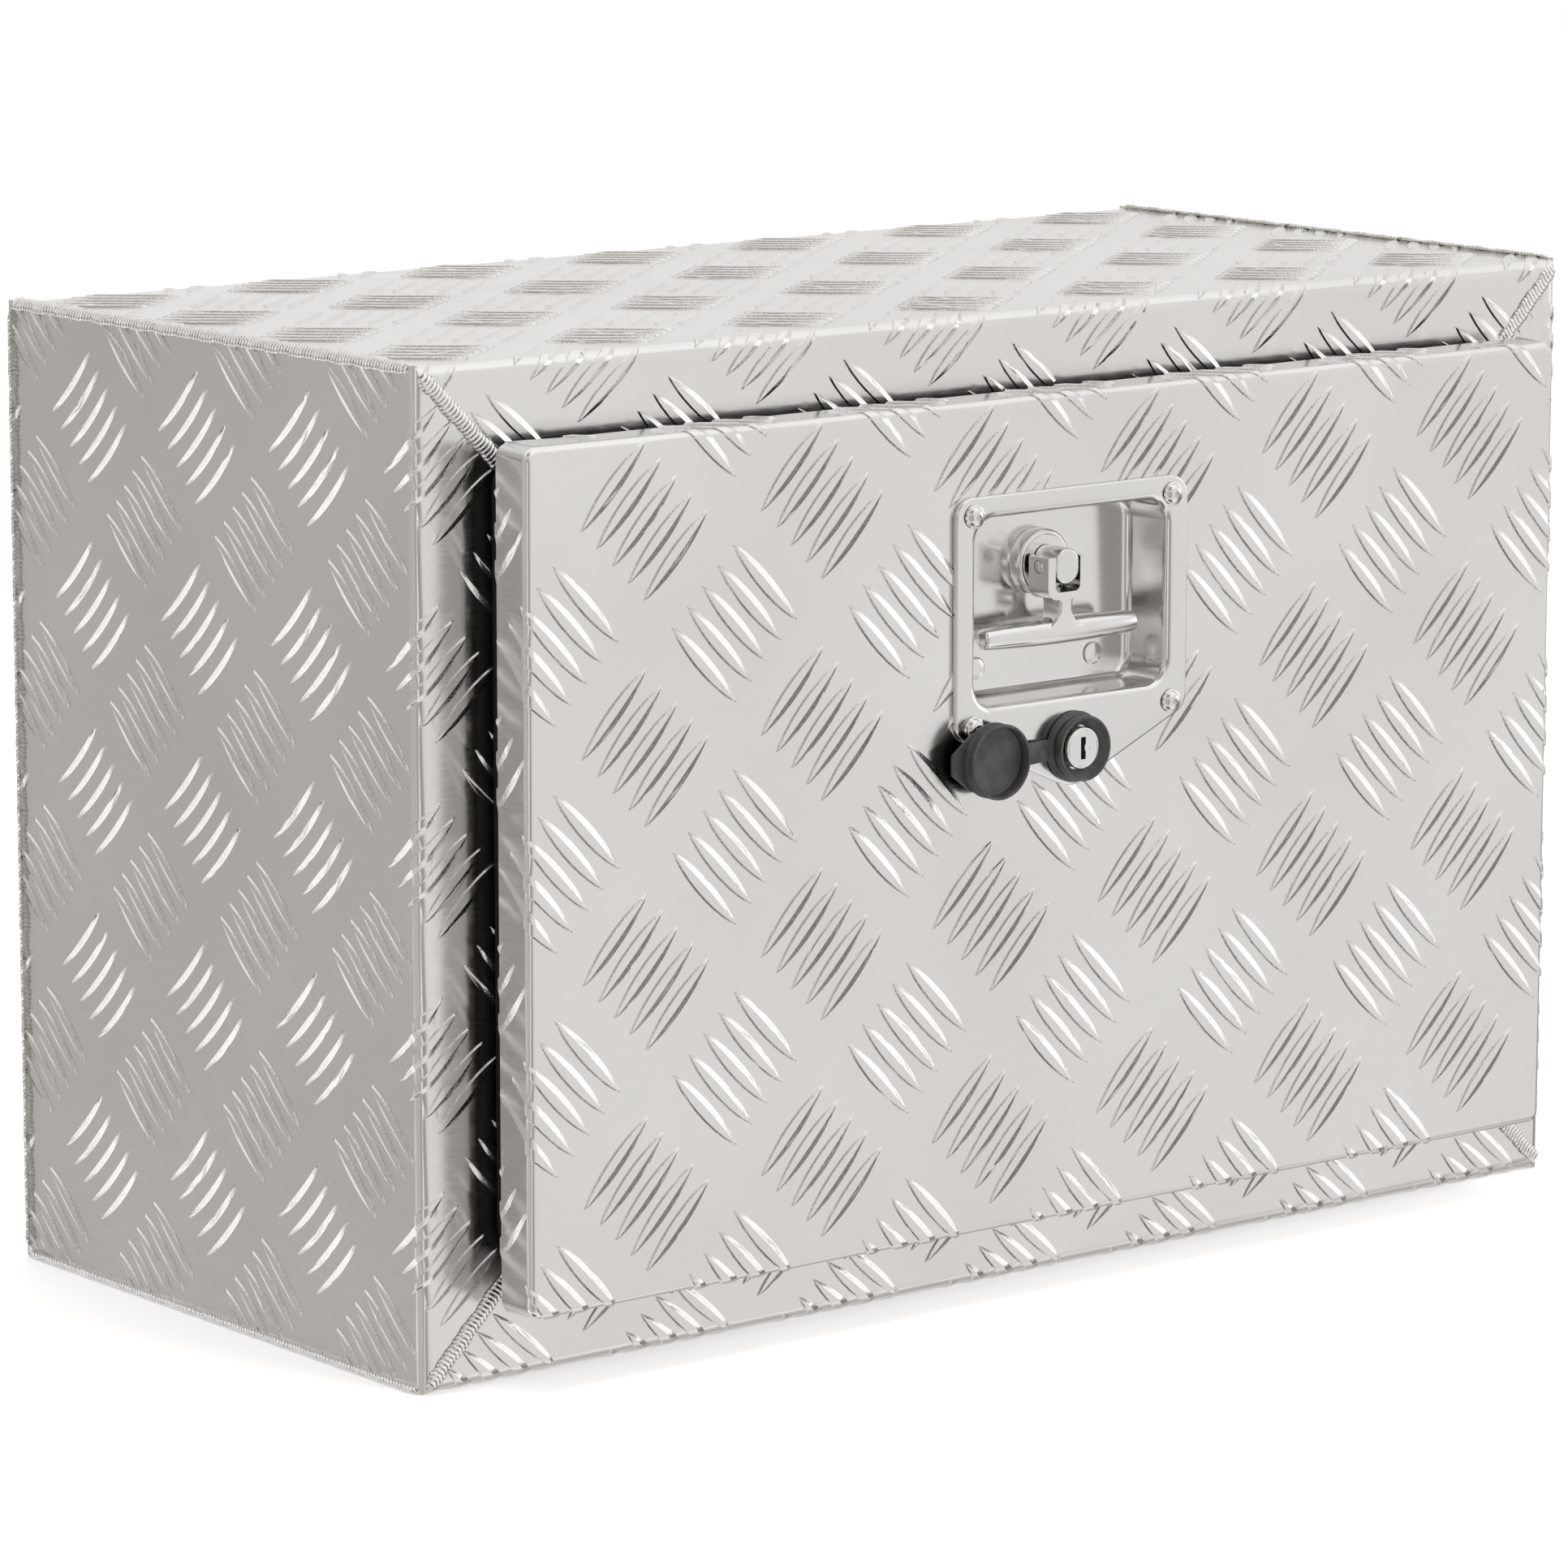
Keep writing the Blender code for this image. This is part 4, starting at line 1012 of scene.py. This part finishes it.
def t_handle():
    """The yoke, the flared stem and the barrel-shaped hand bar, forged as one, and the cross pin."""
    x, y, z = PIN

    def outline(half, top, foot, upper, lower, steps):
        corners = [(x - half, z + top), (x - half, z + foot), (x + half, z + foot), (x + half, z + top)]
        return rounded(corners, [upper, lower, lower, upper], steps)

    yoke = prism(outline(0.0105, 0.0041, -0.0134, 0.0012, 0.0050, 8), y - 0.0062, y + 0.0060)
    slot = prism(outline(0.0066, 0.010, -0.0104, 0.0005, 0.0026, 6), y - 0.02, y + 0.02)
    bore = lathe([(0, -0.02), (0.0027, -0.02), (0.0027, 0.02), (0, 0.02)], PIN, "x", 32)
    yoke = boolean(boolean(yoke, slot), bore)

    drop, stem_top, steps = 0.027, 0.0125, 12
    levels = []
    for share in turns(steps, 1.0):
        height = -stem_top - (drop - 0.0140) * share
        foot = 0.0068 * max(0.0, (share - 0.35) / 0.65) ** 2.4
        neck = 0.0012 * max(0.0, (0.22 - share) / 0.22) ** 2
        wide, deep = 0.0034 + (foot + neck), 0.0060 - 0.0008 * share
        level = rounded_box((x - wide, y - deep), (x + wide, y + deep), 0.0013, 5)
        levels.append([(px, py, z + height) for px, py in level])
    stem = mesh_from("stem", *loft(levels))

    half, middle, end = 0.0408, 0.0056, 0.0043
    tip = [(0.0, -half)] + [(end - inset, along) for inset, along in rolled(0.0018, -half)]
    profile = tip + [(middle - (middle - end) * (u / half) ** 2, u)
                     for u in (half * k / 8 for k in range(-7, 8))]
    profile += [(radius, -along) for radius, along in reversed(tip)]
    bar = lathe(profile, (x, y, z - drop), "x", 48)
    mesh = boolean(boolean(yoke, stem, "UNION"), bar, "UNION")
    soften(piece("handle_forging", mesh, POLISHED, "handle", ["t_handle"], sharp=32), 0.00045)
    ends = [(0.0, 0.0110), (0.0012, 0.01092), (0.0020, 0.0107), (0.0025, 0.0103)]
    profile = [(radius, -along) for radius, along in ends] + ends[::-1]
    spun("cross_pin", profile, PIN, POLISHED, "latch_spindle", ["handle_pin"], axis="x", sides=32)


# ---------------------------------------------------------------- lock

def lock_cylinder():
    """The lock's collar, and its plug with the key slot."""
    x, z = KEY.x, KEY.z
    centre, seat = (x, 0, z), LOCK_SEAT
    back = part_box("lock_housing")[1].y
    collar = [(0.0083, seat - 0.0024), (0.0108, seat - 0.0024), (0.0115, seat - 0.0017), (0.0115, seat),
              (0.0093, seat), (0.0093, back), (0.0083, back)]
    spun("lock_collar", collar, centre, POLISHED, "door", ["lock_housing"], closed=True)

    low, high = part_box("lock_plug")
    face, radius = low.y, 0.0087
    shoulder = high.y - 0.0084
    plug = [(0.0, face), (0.0074, face), (0.0076, face + 0.00015), (0.0078, face)]
    plug += [(radius - inset, y) for inset, y in rolled(0.0007, face)]
    plug += [(radius, face + 0.0014), (0.0080, face + 0.0015), (0.0080, shoulder), (0.0038, shoulder),
             (0.0038, high.y), (0.0, high.y)]
    slot = [(-0.0013, -0.0046), (0.0013, -0.0046), (0.0013, -0.0014), (0.0008, -0.0008), (0.0008, 0.0010),
            (0.0013, 0.0016), (0.0013, 0.0046), (-0.0013, 0.0046)]
    slot = [(x + px, z + pz) for px, pz in slot]
    dot = lathe([(0, -0.002), (0.0011, -0.002), (0.0011, 0.0002), (0, 0.0002)],
                (x + 0.0026, face, z - 0.0001), sides=24)
    mesh = boolean(boolean(lathe(plug, centre), prism(slot, face - 0.002, face + 0.006)), dot)
    piece("lock_face", mesh, POLISHED, "key_plug", ["lock_plug"], sharp=30)
    # Painted shade: a near-black block fills the key slot below its mouth, standing in for the shade down the
    # slot
    shade_outline = [(px * 0.98 + x * 0.02, pz * 0.999 + z * 0.001) for px, pz in slot]
    piece("key_slot_shade_fill", prism(shade_outline, face + 0.0016, face + 0.0058), KEY_SLOT_SHADE, "key_plug")


def lock_ring():
    """The rubber ring round the lock, with a grooved side and a hollow mouth."""
    seat = LOCK_SEAT
    ring = [(0.0118, seat), (0.0141, seat)]
    ring += [(0.0141 + 0.0006 * math.sin(a), seat - 0.0011 + 0.0011 * math.cos(a))
             for a in turns(6, math.pi)[1:-1]]
    ring += [(0.0136, seat - 0.0026), (0.0131, seat - 0.0029), (0.0130, seat - 0.0034),
             (0.0134, seat - 0.0040), (0.0135, seat - 0.0072)]
    ring += [(0.0129 + 0.0006 * math.cos(a), seat - 0.0076 - 0.0006 * math.sin(a)) for a in turns(4)]
    ring += [(0.0124, seat - 0.0081), (0.0121, seat - 0.0076), (0.0103, seat - 0.0048),
             (0.0094, seat - 0.0044), (0.0092, seat - 0.0028), (0.0118, seat - 0.0027)]
    spun("lock_ring", ring, (KEY.x, 0, KEY.z), RUBBER, "door", ["lock_boot"], sides=96, closed=True, sharp=45)


def lock_cap():
    """The open rubber cap: a cup with a lip, and the tab that lifts it."""
    low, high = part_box("dust_cap")
    rim, back = low.y, high.y
    outer, inner, round_edge = 0.0155, 0.0142, 0.0010
    cup = [(0.0, back), (outer - round_edge, back)]
    cup += [(outer - round_edge + round_edge * math.sin(a), back - round_edge + round_edge * math.cos(a))
            for a in turns(4)[1:]]
    cup += [(outer - 0.0001, back - 0.0030), (outer - 0.0005, back - 0.0034), (outer - 0.0005, rim + 0.0012),
            (outer, rim + 0.0009), (outer, rim + 0.0004), (outer - 0.0004, rim), (inner + 0.0003, rim),
            (inner, rim + 0.0003), (inner, back - 0.0021), (inner - 0.0007, back - 0.0015),
            (0.0, back - 0.0015)]
    spun("cap_cup", cup, (CAP_X, 0, KEY.z), RUBBER, "lock_cap", ["dust_cap"], sides=96, sharp=45)
    tab = [(-0.0210, -0.0040), (-0.0210, 0.0040), (-0.0110, 0.0118), (-0.0020, 0.0138), (-0.0020, -0.0138),
           (-0.0110, -0.0118)]
    tab = rounded([(CAP_X + px, KEY.z + pz) for px, pz in tab],
                  [0.0012, 0.0012, 0.003, 0.001, 0.001, 0.003], 4)
    piece("cap_tab", prism(tab, back - 0.0013, back), RUBBER, "lock_cap", bevel=0.00035)
    lock_strap(back)


def lock_strap(back):
    """The strap that holds the cap to the ring, bent where it folds."""
    half, thick, edge = 0.00445, 0.0012, 0.00025
    start, end = -0.0128, CAP_X + 0.0125
    section = [(-half + edge, 0), (half - edge, 0), (half, -edge), (half, -thick + edge),
               (half - edge, -thick), (-half + edge, -thick), (-half, -thick + edge), (-half, -edge)]
    loops = []
    for share in turns(36, 1):
        px = start + (end - start) * share
        blend = share * share * (3 - 2 * share)
        py = (LOCK_SEAT - 0.0007) * (1 - blend) + back * blend
        loops.append([(px, py + dy, KEY.z + dz) for dz, dy in section])
    obj = piece("cap_strap", mesh_from("cap_strap", *loft(loops)), RUBBER, None, sharp=50)
    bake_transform(obj)


# ---------------------------------------------------------------- hardware that stays as it is

def dress_cad_nodes():
    """Better finishes, and softened edges, for the CAD pieces that keep their shape."""
    kinds = {
        "hinge_": (PLAIN_STEEL, 0),
        "strike_plate": (PLAIN_STEEL, 0.0003),
        "stay_lug": (ZINC, 0.0003),
        "latch_back_plate": (ZINC, 0.0004),
        "latch_nut": (ZINC, 0.0004),
        "latch_bar": (ZINC, 0.0005),
        "latch_bar_washer": (ZINC, 0.0002),
        "latch_bar_nut": (ZINC, 0.0005),
        "lock_ring_nut": (ZINC, 0.0005),
        "lock_tongue": (ZINC, 0.0003),
        "lock_tongue_nut": (ZINC, 0.0004),
    }
    for name, node in frame["nodes"].items():
        starts = [start for start in kinds if name.startswith(start)]
        if not starts:
            continue
        material, edge = kinds[max(starts, key=len)]
        node.data.materials.clear()
        node.data.materials.append(material)
        node.data.shade_smooth()
        node.data.set_sharp_from_angle(angle=math.radians(35))
        if edge:
            soften(node, edge, 2)


# ---------------------------------------------------------------- studio

def camera():
    """The camera: a long lens, low and to the left of the door."""
    azimuth, elevation, distance = math.radians(-38.61), math.radians(10.49), 4.935 * (RIGHT - LEFT)
    back = Vector((math.sin(azimuth) * math.cos(elevation),
                   -math.cos(azimuth) * math.cos(elevation), math.sin(elevation)))
    right = Vector((math.cos(azimuth), math.sin(azimuth), 0))
    up = back.cross(right)
    middle = (CASE_LOW + CASE_HIGH) / 2
    data = bpy.data.cameras.new("camera")
    data.sensor_width = 36
    data.lens = 161.9
    data.clip_end = 50
    obj = bpy.data.objects.new("camera", data)
    width = RIGHT - LEFT
    obj.location = middle + back * distance - right * 0.0138 * width - up * 0.0240 * width
    obj.rotation_mode = "QUATERNION"
    obj.rotation_quaternion = (-back).to_track_quat("-Z", "Y")
    bpy.context.scene.collection.objects.link(obj)
    bpy.context.scene.camera = obj


def softbox(name, location, target, size, power):
    data = bpy.data.lights.new(name, "AREA")
    data.shape = "RECTANGLE"
    data.size, data.size_y = size
    data.energy = power
    obj = bpy.data.objects.new(name, data)
    obj.location = location
    way = Vector(target) - Vector(location)
    obj.rotation_euler = way.to_track_quat("-Z", "Y").to_euler()
    bpy.context.scene.collection.objects.link(obj)
    obj.visible_glossy = False
    return obj


def sky():
    """A soft room for the metal to reflect: bright above and below, greyer round the horizon behind
    the box, with bright and dark patches where the bars' flanks look. The camera sees plain white."""
    world = bpy.data.worlds.new("studio")
    bpy.context.scene.world = world
    world.use_nodes = True
    g = Graph(world.node_tree)
    way = g.node("ShaderNodeTexCoord").outputs["Generated"]

    def towards(direction):
        dot = g.node("ShaderNodeVectorMath", operation="DOT_PRODUCT")
        g.link(way, dot.inputs[0])
        dot.inputs[1].default_value = direction
        return dot.outputs["Value"]

    seen = g.ramp(towards((0.62, -0.78, 0)), -1, 1, 0.49, 0.84)
    # Each patch's direction, the cosines where it starts and is full, and the light it adds
    patches = (
        ((0, 0, 1), 0.30, 0.85, 0.36),
        ((0, 0, -1), 0.40, 0.92, 0.30),
        ((0.60, 0.75, 0.28), 0.80, 0.97, 0.20),
        ((0.897, -0.43, 0.095), 0.945, 0.982, 0.55),
        ((-0.757, -0.629, -0.18), 0.985, 0.998, 0.75),
        ((0.86, -0.31, -0.405), 0.934, 0.980, -0.60),
        ((-0.62, -0.76, -0.18), 0.80, 0.96, -0.34),
        ((-0.43, -0.38, 0.82), 0.90, 0.975, -0.62),
        ((-0.20, -0.15, -0.968), 0.90, 0.975, -0.8),
        ((-0.745, 0.44, -0.50), 0.94, 0.982, 0.70),
        ((-0.08, 0.93, -0.36), 0.925, 0.980, 0.60),
        ((0.50, 0.85, -0.12), 0.955, 0.985, 0.30),
        ((0.614, 0.20, -0.76), 0.86, 0.96, -0.38),
    )
    for direction, start, full, light in patches:
        seen = g.maths("ADD", seen, g.ramp(towards(direction), start, full, 0, light, kind="SMOOTHSTEP"))
    seen = g.maths("MAXIMUM", seen, 0.03)
    warmth = g.mix(g.ramp(seen, 0.3, 0.95), (1.0, 0.935, 0.885), (1.0, 0.992, 0.982))
    path = g.node("ShaderNodeLightPath")
    plain = g.node("ShaderNodeBackground", Color=(1, 1, 1, 1), Strength=1.05)
    room = g.tree.nodes["Background"]
    g.link(warmth, room.inputs["Color"])
    g.link(seen, room.inputs["Strength"])
    choose = g.node("ShaderNodeMixShader")
    g.link(path.outputs["Is Camera Ray"], choose.inputs["Fac"])
    g.link(room.outputs["Background"], choose.inputs[1])
    g.link(plain.outputs["Background"], choose.inputs[2])
    g.link(choose.outputs["Shader"], g.tree.nodes["World Output"].inputs["Surface"])


def studio():
    bpy.context.scene.view_settings.view_transform = "Standard"
    sky()
    floor = bpy.data.meshes.new("floor")
    size = 12.0
    floor.from_pydata([(-size, -size, 0), (size, -size, 0), (size, size, 0), (-size, size, 0)], [],
                      [(0, 1, 2, 3)])
    glow = {"Emission Color": (1, 1, 1, 1), "Emission Strength": 0.2}
    m = Finish("floor_paint", (0.93, 0.93, 0.925), 0.0, 0.7, **glow)
    m.roughen(m.noise(3), 0.6, 0.8)
    floor.materials.append(m.material)
    obj = bpy.data.objects.new("floor", floor)
    obj.location.z = cad_box[0].z - 0.0005
    obj.visible_glossy = False
    bpy.context.scene.collection.objects.link(obj)

    middle = (0, 0, 0.2)
    softbox("key_light", (1.0, -2.3, 1.9), middle, (1.8, 1.4), 55)
    softbox("top_light", (0.0, 0.3, 3.0), middle, (3.0, 2.4), 60)


# ---------------------------------------------------------------- the object

camera()
studio()
case_top_back()
case_bottom()
case_side("tread_side_left", "case_side_left", 1)
case_side("tread_side_right", "case_side_right", -1)
case_welds()
door_skin()
door_lips()
door_seal()
latch_dish()
latch_screws()
latch_rivets()
spindle_bush()
spindle_shaft()
t_handle()
lock_cylinder()
lock_ring()
lock_cap()
dress_cad_nodes()
